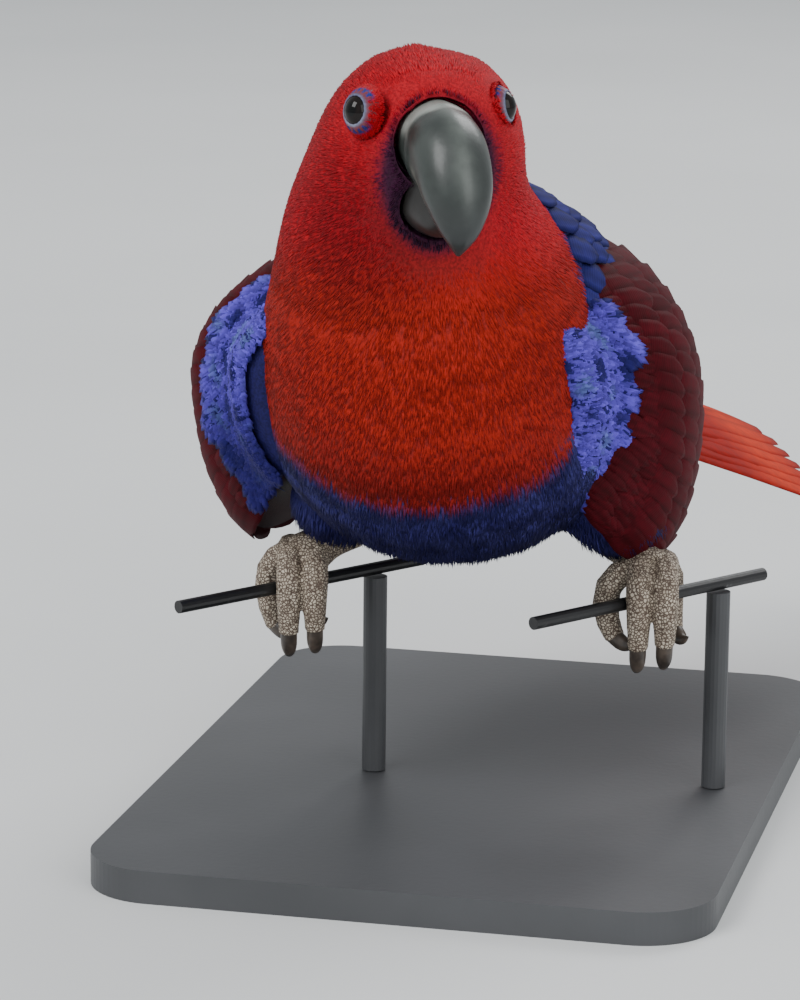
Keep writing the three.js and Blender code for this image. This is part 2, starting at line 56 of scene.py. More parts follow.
MM = 0.001
PERCH_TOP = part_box("perch_left")[1][2] / MM
BIRD = np.array([-2.0, -32.0, PERCH_TOP])  # the bird's middle plane, at the top of the wires, in millimetres
HEAD_AT = np.array([-2.5, -33.0, 111.0])
HEAD_YAW = math.radians(30)
HEAD_LEFT = np.array([math.cos(HEAD_YAW), math.sin(HEAD_YAW), 0.0])
HEAD_FRONT = np.array([math.sin(HEAD_YAW), -math.cos(HEAD_YAW), 0.0])
EYE_SIDE, EYE_FRONT, EYE_UP = 16.2, 14.6, 12.4
FEET = {1: np.array([49.0, 9.7, 0.0]), -1: np.array([-36.5, 2.3, 0.0])}
SIDES = {1: "left", -1: "right"}
MOST_TUFTS = 19000  # tufts in one piece of coat, which keeps it under 200,000 triangles


def on_head(side, front, up):
    return HEAD_AT + side * HEAD_LEFT + front * HEAD_FRONT + np.array([0, 0, up])


def unit(vectors):
    return vectors / np.maximum(np.linalg.norm(vectors, axis=-1, keepdims=True), 1e-9)


def smooth(x, low, high):
    t = np.clip((x - low) / (high - low), 0, 1)
    return t * t * (3 - 2 * t)


def mix(a, b, share):
    share = np.asarray(share)[..., None]
    return np.asarray(a) * (1 - share) + np.asarray(b) * share


def wobble(points, size, seed=0):
    """A smooth value from -1 to 1 over space, for uneven edges of the markings."""
    p = points / size + seed * 17.3
    x, y, z = p[..., 0], p[..., 1], p[..., 2]
    waves = np.sin(x * 2.1 + np.sin(y * 1.7)) + np.sin(y * 2.7 + np.sin(z * 1.3))
    return (waves + np.sin(z * 2.3 + np.sin(x * 1.9))) / 3


# Colours of the plumage, as linear red, green and blue
CRIMSON = (0.52, 0.006, 0.016)
BREAST = (0.37, 0.017, 0.010)
BREAST_LOW = (0.27, 0.012, 0.008)
INDIGO = (0.012, 0.010, 0.085)
INDIGO_PALE = (0.045, 0.042, 0.20)
COLLAR = (0.030, 0.030, 0.20)
VIOLET = (0.15, 0.105, 0.74)
MAROON = (0.070, 0.003, 0.007)
VENT = (0.30, 0.020, 0.010)
TAIL_RED = (0.34, 0.011, 0.006)
TAIL_TIP = (0.66, 0.048, 0.012)
NAVY = (0.008, 0.008, 0.045)


def breast_edge(p):
    """Height over the wires of the lower edge of the red, at the front, the sides and the nape."""
    x, y = p[..., 0], p[..., 1]
    front = 32 + 0.0100 * (x - 1) ** 2
    return front + (104 - front) * smooth(y + 0.2 * x, -27, -3)


def plumage(p):
    """The body's markings at points in the bird's own millimetres."""
    y, z = p[..., 1], p[..., 2]
    edge = breast_edge(p) + 1.4 * wobble(p, 5.0)
    red = mix(mix(BREAST_LOW, BREAST, smooth(z, 34, 58)), CRIMSON, smooth(z, 78, 100))
    # Painted shade: the red is darkened to 0.55 round a point under the bill and cheek on the bird's right
    # side.
    shade = smooth(np.linalg.norm(p - on_head(-10, 12, -14), axis=-1), 6, 26)
    red = mix(red * 0.55, red, shade)
    belly = mix(INDIGO, INDIGO_PALE, 0.5 + 0.5 * wobble(p, 3.5, 2))
    down_back = y + 0.8 * (96 - z)
    behind = mix(COLLAR, MAROON, smooth(down_back + 3 * wobble(p, 6, 3), 36, 44))
    behind = mix(behind, VENT, smooth(y, 66, 84))
    rear = mix(belly, behind, smooth(z - 58 + 0.45 * y, -6, 6) * smooth(y, -30, -6))
    rear = mix(rear, VENT, smooth(y - z * 0.3, 28, 44) * (1 - smooth(z, 40, 52)))
    colour = mix(rear, red, smooth(z - edge, -2.2, 2.2))
    bill = np.linalg.norm((p - on_head(0, 25, -2)) / np.array([1, 1, 1.25]), axis=-1)
    colour = mix(mix(NAVY, (0.10, 0.004, 0.02), 0.45), colour, smooth(bill, 12.5, 16.5))
    return colour


# Meshes from arrays
def paint(mesh, colours):
    rgba = np.ones((len(mesh.vertices), 4))
    rgba[:, :3] = np.asarray(colours).reshape(-1, 3)
    tone = mesh.color_attributes.new("Tone", "FLOAT_COLOR", "POINT")
    tone.data.foreach_set("color", rgba.reshape(-1))


def make_object(name, points, faces, colours=None, bake=None, vane=None):
    """A mesh object from points in the bird's millimetres, arrays of faces and a colour at each point."""
    mesh = bpy.data.meshes.new(name)
    points = (np.asarray(points, float).reshape(-1, 3) + BIRD) * MM
    groups = faces if isinstance(faces, list) else [faces]
    loops = np.concatenate([f.reshape(-1) for f in groups])
    sizes = np.concatenate([np.full(len(f), f.shape[1]) for f in groups])
    mesh.vertices.add(len(points))
    mesh.vertices.foreach_set("co", points.reshape(-1))
    mesh.loops.add(len(loops))
    mesh.loops.foreach_set("vertex_index", loops.astype(np.int32))
    mesh.polygons.add(len(sizes))
    mesh.polygons.foreach_set("loop_start", np.concatenate([[0], np.cumsum(sizes)[:-1]]).astype(np.int32))
    mesh.polygons.foreach_set("loop_total", sizes.astype(np.int32))
    if colours is not None:
        paint(mesh, colours)
    for key, values in (("OFBake", bake), ("Vane", vane)):
        if values is not None:
            layer = mesh.uv_layers.new(name=key)
            layer.data.foreach_set("uv", np.asarray(values).reshape(-1, 2)[loops].reshape(-1))
    mesh.update(calc_edges=True)
    mesh.validate()
    mesh.polygons.foreach_set("use_smooth", np.ones(len(mesh.polygons), bool))
    piece = bpy.data.objects.new(name, mesh)
    bpy.context.scene.collection.objects.link(piece)
    return piece


def finish_piece(piece, material, nodes=()):
    piece.data.materials.clear()
    piece.data.materials.append(material)
    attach(piece, "root")
    if nodes:
        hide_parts(*nodes)
    return piece


def deselect():
    if bpy.context.mode != "OBJECT":
        bpy.ops.object.mode_set(mode="OBJECT")
    bpy.ops.object.select_all(action="DESELECT")


def apply_modifier(piece, kind, **settings):
    deselect()
    piece.select_set(True)
    bpy.context.view_layer.objects.active = piece
    modifier = piece.modifiers.new(kind, kind)
    for key, value in settings.items():
        setattr(modifier, key, value)
    bpy.ops.object.modifier_apply(modifier=modifier.name)


def copy_nodes(name, nodes):
    """One object from copies of the named solids, with their loose triangles merged."""
    deselect()
    copies = []
    for node in nodes:
        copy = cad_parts[node].copy()
        copy.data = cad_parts[node].data.copy()
        copy.data.transform(copy.matrix_world)
        copy.parent = None
        copy.matrix_world.identity()
        bpy.context.scene.collection.objects.link(copy)
        copy.hide_set(False)
        copy.select_set(True)
        copies.append(copy)
    bpy.context.view_layer.objects.active = copies[0]
    if len(copies) > 1:
        bpy.ops.object.join()
    piece = bpy.context.view_layer.objects.active
    piece.name = name
    piece.data.name = name
    bpy.ops.object.mode_set(mode="EDIT")
    bpy.ops.mesh.select_all(action="SELECT")
    bpy.ops.mesh.remove_doubles(threshold=0.00001)
    bpy.ops.object.mode_set(mode="OBJECT")
    piece.data.materials.clear()
    return piece


# Shader maths
class Socket:
    """A shader value that Python's operators add Math nodes to."""

    def __init__(self, tree, socket):
        self.tree = tree
        self.socket = socket

    def math(self, operation, *values):
        return self.node("ShaderNodeMath", {"operation": operation}, {i: v for i, v in enumerate(values)})

    def node(self, kind, settings=None, inputs=None, output=0):
        made = self.tree.nodes.new(kind)
        for key, value in (settings or {}).items():
            if key == "stops":
                for i, (place, colour) in enumerate(value):
                    stop = made.color_ramp.elements[i] if i < 2 else made.color_ramp.elements.new(place)
                    stop.position = place
                    stop.color = colour
            else:
                setattr(made, key, value)
        for key, value in (inputs or {}).items():
            if isinstance(value, Socket):
                self.tree.links.new(value.socket, made.inputs[key])
            else:
                made.inputs[key].default_value = value
        return Socket(self.tree, made.outputs[output])

    def __add__(self, other):
        return self.math("ADD", self, other)

    def __radd__(self, other):
        return self.math("ADD", other, self)

    def __sub__(self, other):
        return self.math("SUBTRACT", self, other)

    def __rsub__(self, other):
        return self.math("SUBTRACT", other, self)

    def __mul__(self, other):
        return self.math("MULTIPLY", self, other)

    def __rmul__(self, other):
        return self.math("MULTIPLY", other, self)

    def __pow__(self, other):
        return self.math("POWER", self, other)

    def between(self, low, high):
        """0 below low, 1 above high, and a smooth rise between them."""
        return self.node("ShaderNodeMapRange", {"interpolation_type": "SMOOTHSTEP"},
                         {"Value": self, "From Min": low, "From Max": high})

    def mix(self, a, b):
        """The colours a and b, mixed by this value."""
        return self.node("ShaderNodeMix", {"data_type": "RGBA"}, {0: self, 6: a, 7: b}, output=2)

    def tint(self, colour):
        """This colour times another."""
        return self.node("ShaderNodeMix", {"data_type": "RGBA", "blend_type": "MULTIPLY"},
                         {0: 1.0, 6: self, 7: colour}, output=2)


class Finish:
    """A new material with its surface shader, ready for values."""

    def __init__(self, name):
        self.material = bpy.data.materials.new(name)
        self.material.use_nodes = True
        self.tree = self.material.node_tree
        self.shader = self.tree.nodes["Principled BSDF"]
        self.start = Socket(self.tree, None)
        self.place = self.start.node("ShaderNodeTexCoord", output=3)

    def noise(self, scale, detail=3.0, at=None):
        return self.start.node("ShaderNodeTexNoise", {},
                               {"Vector": at or self.place, "Scale": scale, "Detail": detail})

    def cells(self, scale, feature="F1"):
        return self.start.node("ShaderNodeTexVoronoi", {"feature": feature},
                               {"Vector": self.place, "Scale": scale})

    def attribute(self, name):
        return self.start.node("ShaderNodeAttribute", {"attribute_name": name})

    def map(self, name):
        return self.start.node("ShaderNodeUVMap", {"uv_map": name})

    def parts(self, vector):
        split = self.start.node("ShaderNodeSeparateXYZ", {}, {0: vector})
        node = split.socket.node
        return [Socket(self.tree, out) for out in node.outputs]

    def mottle(self, share, low, high, dark, light):
        """The piece's own colour, darker where share is under low and lighter where it is over high."""
        tone = self.attribute("Tone")
        return share.between(low, high).mix(tone.tint((*dark, 1)), tone.tint((*light, 1)))

    def bump(self, height, strength, distance):
        return self.start.node("ShaderNodeBump", {},
                               {"Height": height, "Strength": strength, "Distance": distance})

    def set(self, **values):
        for key, value in values.items():
            socket = self.shader.inputs[key.replace("_", " ")]
            if isinstance(value, Socket):
                self.tree.links.new(value.socket, socket)
            else:
                socket.default_value = value
        return self.material


def coat_finish():
    f = Finish("soft_coat")
    grain = f.noise(900.0, 2.0)
    colour = f.mottle(grain, 0.25, 0.75, (0.8,) * 3, (1.12,) * 3)
    return f.set(Base_Color=colour, Roughness=0.62 + grain * 0.1, Specular_IOR_Level=0.12,
                 Normal=f.bump(grain, 0.25, 0.0002))


def skin_finish():
    f = Finish("skin_under_coat")
    barbs = f.noise(1500.0, 4.0)
    # Painted shade: the skin is 0.45 to 0.85 of the coat's colour, so what shows between the tufts reads as
    # shadow.
    colour = f.mottle(barbs, 0.3, 0.7, (0.45,) * 3, (0.85,) * 3)
    return f.set(Base_Color=colour, Roughness=0.75, Specular_IOR_Level=0.2, Normal=f.bump(barbs, 0.5, 0.0004))


def vane_finish():
    """Firm feathers: fine slanting barbs on both sides of the shaft, from the piece's own map."""
    f = Finish("firm_vanes")
    across, along, _ = f.parts(f.map("Vane"))
    slant = across.math("ABSOLUTE", across) * 26.0
    barbs = across.math("SINE", (along * 150.0 - slant) * 1.6)
    uneven = f.noise(420.0, 3.0)
    tone = (barbs * 0.5 + 0.5) * 0.2 + uneven * 0.8
    colour = f.mottle(tone, 0.2, 0.8, (0.72,) * 3, (1.18,) * 3)
    return f.set(Base_Color=colour, Roughness=0.55 + uneven * 0.2, Specular_IOR_Level=0.07,
                 Normal=f.bump(barbs * 0.4 + uneven, 0.3, 0.00012))


def horn_finish():
    """The polished bill: dark grey green, paler at the root and the cutting edge, with fine growth lines."""
    f = Finish("bill_horn")
    cloud = f.noise(140.0, 4.0)
    lines = f.noise(60.0, 6.0)
    scuffs = f.noise(1100.0, 2.0)
    shade = f.mottle(cloud, 0.3, 0.72, (0.72, 0.74, 0.72), (1.25, 1.25, 1.22))
    return f.set(Base_Color=shade, Roughness=0.26 + cloud * 0.2 + scuffs * 0.08, Specular_IOR_Level=0.45,
                 Coat_Weight=0.1, Coat_Roughness=0.15,
                 Normal=f.bump(lines * 0.7 + scuffs * 0.3, 0.22, 0.0004))


def foot_finish():
    """Dry grey-beige skin in round scales, with painted shade darkening the creases between them."""
    f = Finish("scaled_skin")
    crease = f.cells(1300.0, "DISTANCE_TO_EDGE").between(0.03, 0.24)
    dust = f.noise(300.0, 4.0)
    pale = dust.between(0.3, 0.7).mix((0.42, 0.35, 0.27, 1), (0.62, 0.54, 0.43, 1))
    # Painted shade: dark brown in the creases between the scales.
    colour = crease.mix((0.085, 0.055, 0.038, 1), pale)
    return f.set(Base_Color=colour, Roughness=0.62 + dust * 0.2, Normal=f.bump(crease, 0.6, 0.0004))


def claw_finish():
    f = Finish("claw_horn")
    cloud = f.noise(260.0, 4.0)
    colour = cloud.between(0.3, 0.7).mix((0.030, 0.023, 0.019, 1), (0.10, 0.075, 0.058, 1))
    return f.set(Base_Color=colour, Roughness=0.28 + cloud * 0.2, Normal=f.bump(cloud, 0.3, 0.0003))


def eye_finish():
    """A dark brown iris round a black pupil, under a clear wet surface."""
    f = Finish("wet_eye")
    fibres = f.noise(1600.0, 3.0)
    shade = f.mottle(fibres, 0.3, 0.7, (0.7,) * 3, (1.3,) * 3)
    return f.set(Base_Color=shade, Roughness=0.05 + fibres * 0.02, Specular_IOR_Level=0.2, Coat_Weight=0.15,
                 Coat_Roughness=0.02)


def lid_finish():
    f = Finish("lid_skin")
    grain = f.noise(1500.0, 3.0)
    shade = f.mottle(grain, 0.3, 0.7, (0.78,) * 3, (1.15,) * 3)
    return f.set(Base_Color=shade, Roughness=0.5 + grain * 0.1, Normal=f.bump(grain, 0.4, 0.0002))


def wire_finish():
    """Thick black coating on wire: glossy, faintly uneven, with small grey rubs."""
    f = Finish("black_coated_wire")
    rubs = f.noise(180.0, 6.0).between(0.62, 0.72)
    dust = f.noise(700.0, 3.0)
    colour = rubs.mix((0.010, 0.010, 0.011, 1), (0.11, 0.11, 0.11, 1))
    return f.set(Base_Color=colour, Roughness=0.28 + dust * 0.2, Specular_IOR_Level=0.5,
                 Normal=f.bump(dust, 0.25, 0.0002))


def stand_finish():
    """Satin grey powder paint with a fine orange-peel surface."""
    f = Finish("stand_paint")
    peel = f.noise(520.0, 3.0)
    cloud = f.noise(22.0, 3.0)
    colour = cloud.between(0.3, 0.7).mix((0.052, 0.054, 0.058, 1), (0.068, 0.070, 0.075, 1))
    return f.set(Base_Color=colour, Roughness=0.42 + cloud * 0.12, Normal=f.bump(peel, 0.18, 0.0003))


def floor_finish():
    f = Finish("pale_floor")
    cloud = f.noise(3.0, 3.0)
    colour = cloud.between(0.3, 0.7).mix((0.70, 0.71, 0.71, 1), (0.74, 0.75, 0.75, 1))
    return f.set(Base_Color=colour, Roughness=0.8)


SHARED = {}  # materials that several pieces use


def shared(finish):
    """The material that this function makes, made once."""
    if finish not in SHARED:
        SHARED[finish] = finish()
    return SHARED[finish]


# The skin and its coat
COATED = ("head", "neck", "torso", "leg_left", "leg_right")
FILLED = ("bill_upper", "bill_lower", "eye_left", "eye_right")  # the skin runs on under these


def bird_points(mesh):
    points = np.empty(len(mesh.vertices) * 3)
    mesh.vertices.foreach_get("co", points)
    return points.reshape(-1, 3) / MM - BIRD


def build_skin(depth):
    piece = copy_nodes("skin", COATED + FILLED)
    apply_modifier(piece, "REMESH", mode="VOXEL", voxel_size=0.00115)
    apply_modifier(piece, "SMOOTH", factor=0.5, iterations=30)
    apply_modifier(piece, "DISPLACE", strength=-depth, mid_level=0.0)
    apply_modifier(piece, "SMOOTH", factor=0.5, iterations=4)
    paint(piece.data, plumage(bird_points(piece.data)))
    piece.data.polygons.foreach_set("use_smooth", np.ones(len(piece.data.polygons), bool))
    return finish_piece(piece, skin_finish(), COATED)


class SkinSurface:
    """Triangles of the skin to draw tuft roots from, with their normals."""

    def __init__(self, piece):
        mesh = piece.data
        mesh.calc_loop_triangles()
        corners = np.empty(len(mesh.loop_triangles) * 3, np.int32)
        mesh.loop_triangles.foreach_get("vertices", corners)
        self.corners = corners.reshape(-1, 3)
        self.points = bird_points(mesh)
        normals = np.empty(len(mesh.vertices) * 3)
        mesh.vertices.foreach_get("normal", normals)
        self.normals = normals.reshape(-1, 3)
        a, b, c = (self.points[self.corners[:, i]] for i in range(3))
        self.areas = np.linalg.norm(np.cross(b - a, c - a), axis=1) / 2
        self.middles = (a + b + c) / 3

    def draw(self, density, seed):
        """Roots at so many to the square millimetre."""
        rng = np.random.default_rng(seed)
        weights = self.areas * density(self.middles)
        count = int(weights.sum())
        chosen = rng.choice(len(weights), count, p=weights / weights.sum())
        w = rng.dirichlet((1, 1, 1), count)
        corners = self.corners[chosen]
        roots = (self.points[corners] * w[..., None]).sum(1)
        normals = unit((self.normals[corners] * w[..., None]).sum(1))
        return roots, normals, rng


BILL_BASE = on_head(0, 24, 2)


def lie(roots, normals):
    """The way the coat lies: back from the bill, down the breast and along the back to the tail."""
    away = unit(roots - BILL_BASE)
    tailward = np.array([0.06, 0.86, -0.5])
    share = smooth(roots[:, 1], -6, 40)[:, None]
    way = away * (1 - share) + tailward * share
    way = way - (way * normals).sum(1, keepdims=True) * normals
    return unit(way)


def unwrap(points):
    """The skin laid flat: round the upright middle line, and up it."""
    middle = np.stack([np.zeros(len(points)), np.interp(points[:, 2], [0, 60, 130], [22, 4, -32])], 1)
    around = np.arctan2(points[:, 0] - middle[:, 0], -(points[:, 1] - middle[:, 1])) / (2 * np.pi) + 0.5
    return np.stack([0.02 + 0.96 * around, 0.02 + 0.96 * np.clip(points[:, 2] / 145, 0, 1)], 1)


BLADE_AT = np.array([0.0, 0.5])
BLADE_WIDE = np.array([0.7, 1.0])
PATCH = 0.003  # a tuft's patch on the baking map


def tufts(name, roots, normals, ways, lengths, widths, rises, colours, rng, material, slot, lift=-0.25):
    """Closed tapering blades over the skin, in pieces that stay under the limit of triangles."""
    count = len(roots)
    roots = roots + normals * np.broadcast_to(lift, count)[:, None]
    turn = (0.10 * rng.normal(0, 1, count) + 0.04 * wobble(roots, 3.0, 5))[:, None]
    ways = unit(ways + np.cross(normals, ways) * turn)
    across = np.cross(normals, ways)
    tones = 1 + rng.normal(0, 0.05, (count, 1)) + 0.02 * wobble(roots, 1.1, 6)[:, None]
    points = np.empty((count, 7, 3))
    shades = np.empty((count, 7, 3))
    patches = np.empty((count, 7, 2))
    flat = unwrap(roots)
    bend = lengths ** 2 / 90.0
    for level, (t, wide) in enumerate(zip(BLADE_AT, BLADE_WIDE)):
        line = roots + ways * (lengths * t)[:, None] + normals * (rises * t - bend * t * t)[:, None]
        half = (widths * wide / 2)[:, None]
        points[:, 3 * level] = line - across * half
        points[:, 3 * level + 1] = line + normals * (widths * wide * 0.2)[:, None]
        points[:, 3 * level + 2] = line + across * half
        # Painted shade: each tuft is darker at its root, where the tufts cover each other, and lighter at its
        # tip.
        shades[:, 3 * level: 3 * level + 3] = (colours * tones * (0.72 + 0.4 * t))[:, None]
        for k in range(3):
            patches[:, 3 * level + k] = flat + PATCH * np.array([(k - 1) * 0.45, t - 0.5])
    points[:, 6] = roots + ways * lengths[:, None] + normals * (rises - bend)[:, None]
    shades[:, 6] = colours * tones * 1.08
    patches[:, 6] = flat + PATCH * np.array([0, 0.5])
    quads = np.array([(0, 1, 4, 3), (1, 2, 5, 4), (2, 0, 3, 5)])
    threes = np.array([(3, 4, 6), (4, 5, 6), (5, 3, 6), (0, 2, 1)])
    order = np.argsort(roots[:, 2])
    for part, start in enumerate(range(0, count, MOST_TUFTS)):
        pick = order[start:start + MOST_TUFTS]
        base = 7 * np.arange(len(pick))[:, None, None]
        faces = [(quads[None] + base).reshape(-1, 4), (threes[None] + base).reshape(-1, 3)]
        piece = make_object(f"{name}_{part + 1}", points[pick], faces, shades[pick], patches[pick])
        finish_piece(piece, material)


def eye_distance(points):
    """How far points are from the nearer eye's middle."""
    far = [np.linalg.norm(points - on_head(s * EYE_SIDE, EYE_FRONT, EYE_UP), axis=-1) for s in (1, -1)]
    return np.minimum(*far)


def horn_distance(points):
    """How far points are outside the bill's horn, in millimetres."""
    trees = [BVHTree.FromObject(bpy.data.objects[name], bpy.context.evaluated_depsgraph_get())
             for name in ("bill_upper_horn", "bill_lower_horn")]
    far = np.empty(len(points))
    for i, point in enumerate((points + BIRD) * MM):
        best = 1.0
        for tree in trees:
            at, normal, _, distance = tree.find_nearest(Vector(point))
            inside = (Vector(point) - at).dot(normal) < 0
            best = min(best, -distance if inside else distance)
        far[i] = best / MM
    return far


def head_share(p):
    return smooth(p[:, 2] - 0.3 * (p[:, 1] + 30), 80, 88)


def build_coat(skin, share):
    surface = SkinSurface(skin)
    material = shared(coat_finish)
    roots, normals, rng = surface.draw(lambda p: share * 3.6 * head_share(p) * (eye_distance(p) > 3.9), 11)
    near = np.linalg.norm(roots - on_head(0, 26, -3), axis=1) < 26
    beak = np.full(len(roots), 20.0)
    beak[near] = horn_distance(roots[near])
    keep = beak > -0.3
    roots, normals, beak = roots[keep], normals[keep], beak[keep]
    lengths = np.clip(0.9 + 0.26 * beak, 1.0, 4.6) * rng.uniform(0.8, 1.2, len(roots))
    lengths = np.minimum(lengths, 0.8 + 0.5 * np.maximum(eye_distance(roots) - 4.6, 0))
    widths = np.clip(0.24 + 0.022 * beak, 0.26, 0.55) * rng.uniform(0.8, 1.2, len(roots))
    colours = plumage(roots)
    # Painted shade: tufts close to the horn, and further out below the bill, are darkened to near black for
    # the shadowed gap at the bill's root.
    low_side = 1 - smooth(roots[:, 2], 100, 108)
    dark = smooth(beak + 0.5 * wobble(roots, 1.5) - 1.4 * low_side, 0.5, 2.0)
    colours = mix((0.022, 0.004, 0.020), colours, dark)
    lift = -0.25 + 1.25 * (1 - smooth(beak, 0.2, 3.0))
    tufts("coat_head", roots, normals, lie(roots, normals), lengths, widths, 0.16 * lengths, colours, rng,
          material, "crimson_feather", lift)

    def body_density(p):
        front = 1 - smooth(p[:, 1], 6, 30)
        return share * (1.1 + 1.6 * front) * (1 - head_share(p)) * (p[:, 1] < 92)

    roots, normals, rng = surface.draw(body_density, 12)
    low = 1 - smooth(roots[:, 2], 8, 34)
    back = smooth(roots[:, 1], 0, 26)
    lengths = (5.2 + 3.2 * low + 1.6 * back) * rng.uniform(0.75, 1.25, len(roots))
    widths = (0.62 + 0.5 * back) * rng.uniform(0.75, 1.25, len(roots))
    rises = lengths * (0.10 + 0.10 * low * rng.uniform(0, 1, len(roots)))
    colours = plumage(roots)
    wisps = smooth(wobble(roots * np.array([2.6, 2.6, 0.7]), 2.2, 8), 0.35, 0.8) * low
    colours = mix(colours, (0.075, 0.075, 0.26), 0.6 * wisps * (colours[:, 2] > colours[:, 0]))
    ways = lie(roots, normals) + np.array([0, 0, -0.7]) * (low * (1 - back))[:, None]
    tufts("coat_body", roots, normals, unit(ways), lengths, widths, rises, colours, rng, material,
          "indigo_feather")


def spread(points, step, seed):
    """Indices of points that keep at least a step from each other."""
    order = np.random.default_rng(seed).permutation(len(points))
    cells, kept = {}, []
    for i in order:
        key = tuple((points[i] // step).astype(int))
        around = [cells.get((key[0] + a, key[1] + b, key[2] + c), ()) for a in (-1, 0, 1) for b in (-1, 0, 1)
                  for c in (-1, 0, 1)]
        if all(np.linalg.norm(points[i] - points[k]) > step for group in around for k in group):
            cells.setdefault(key, []).append(i)
            kept.append(i)
    return np.array(kept)


def build_mantle(skin):
    """Broad shingled feathers over the nape, the back and the rump."""
    surface = SkinSurface(skin)
    tree = BVHTree.FromObject(skin, bpy.context.evaluated_depsgraph_get())

    def region(p):
        behind = smooth(p[:, 2] - breast_edge(p), 2, -6) + 0 * p[:, 0]
        y, z = p[:, 1], p[:, 2]
        return 0.6 * behind * (z > 34) * (y > -22) * (y < 90) * (z + 0.45 * y > 56)

    roots, normals, rng = surface.draw(region, 61)
    kept = spread(roots, 4.6, 62)
    roots, normals = roots[kept], normals[kept]
    ways = lie(roots, normals)
    vanes = Vanes()
    for root, way in zip(roots, ways):
        back = float(smooth(root[1], 0, 40))
        length, width = (9.5 + 5 * back) * rng.uniform(0.9, 1.1), (7.5 + 2 * back) * rng.uniform(0.9, 1.1)
        places, outs = [], []
        steps = np.linspace(0, 1, 7) ** 0.9
        for t in steps:
            at, out, _, _ = tree.find_nearest(Vector((root + way * length * t + BIRD) * MM))
            places.append(np.array(at) / MM - BIRD + np.array(out) * (-0.5 + 2.6 * t ** 0.7))
            outs.append(np.array(out))
        places, outs = np.array(places), np.array(outs)
        tip = plumage(places[-1][None])[0]
        tone = tip * rng.uniform(0.8, 1.2)
        # Painted shade: blue feathers get dark rims for the gaps between them; red ones get paler rims.
        rim = tone * (0.35 if tone[2] > tone[0] else 1.15)
        pick = lambda values: lambda t: np.stack([np.interp(t, steps, values[:, k]) for k in range(3)], 1)
        vanes.add(pick(places), pick(outs), width, COVERT_SHAPE, plain(tone), rim, 0.0, 6, 5, 24, puff=0.4,
                  ragged=0.05, rng=rng)
    finish_piece(vanes.build("mantle_feathers"), shared(vane_finish))


# The wings: the same guide that the solids follow
WING_HALF_WIDTH = [46, 61, 63, 56, 43, 31, 20]
WING_MIDDLE_UP = [54, 47, 43, 40, 37, 34, 31]
WING_HALF_HEIGHT = [28, 40, 44, 40, 32, 21, 10]
WING_SPREAD = {1: 0.9, -1: 1.03}
WING_FRONT, WING_LENGTH = -23, 148
WING_TOP, WING_SWEEP = math.radians(82), math.radians(142)
WING_SQUARE = {1: 0.65, -1: 0.95}
WING_LOWER_SQUARE, WING_LOWER = 0.38, 1.1
WING_TIP_RISE = {1: 14, -1: 4}
WING_NOSE = 0.075  # how far the rounded front edge reaches before the wrist


def along(sizes, t):
    sizes = np.asarray(sizes, float)
    x = np.clip(t, 0, 1) * (len(sizes) - 1)
    i = np.clip(np.floor(x).astype(int), 0, len(sizes) - 2)
    last = len(sizes) - 1
    at = lambda k: sizes[np.clip(k, 0, last)]
    slope = lambda k: (at(k + 1) - at(k - 1)) / 2
    f = x - i
    a = 2 * f ** 3 - 3 * f ** 2 + 1
    near = a * at(i) + (f ** 3 - 2 * f ** 2 + f) * slope(i)
    return near + (1 - a) * at(i + 1) + (f ** 3 - f ** 2) * slope(i + 1)


def wing_guide(side, u, v, over=0.0):
    u, v = np.asarray(u, float), np.asarray(v, float)
    angle = WING_TOP - v * WING_SWEEP
    below = angle < 0
    square = np.where(below, WING_LOWER_SQUARE, WING_SQUARE[side])
    nose = 1 - np.sqrt(np.clip(1 - (np.minimum(u, 0) / WING_NOSE) ** 2, 0, 1))
    wide = along(WING_HALF_WIDTH, u) * WING_SPREAD[side] + over - 14 * nose
    high = (along(WING_HALF_HEIGHT, u) + over - 9 * nose) * np.where(below, WING_LOWER, 1.0)
    y = WING_FRONT + WING_LENGTH * u - 6 * np.sin(angle)
    middle = along(WING_MIDDLE_UP, u) + WING_TIP_RISE[side] * np.maximum(u, 0) ** 3
    out = side * wide * np.clip(np.cos(angle), 1e-6, 1) ** square
    return np.stack([out, y, middle + high * np.sin(angle)], -1)


def wing_out(side, u, v):
    du = wing_guide(side, u + 0.01, v) - wing_guide(side, u - 0.01, v)
    dv = wing_guide(side, u, v + 0.01) - wing_guide(side, u, v - 0.01)
    return unit(np.cross(dv, du)) * side


VANE_THICK = 0.22  # millimetres


def plain(values):
    """A function that gives the same values at every share of the length."""
    return lambda t: np.outer(np.ones(len(t)), values)


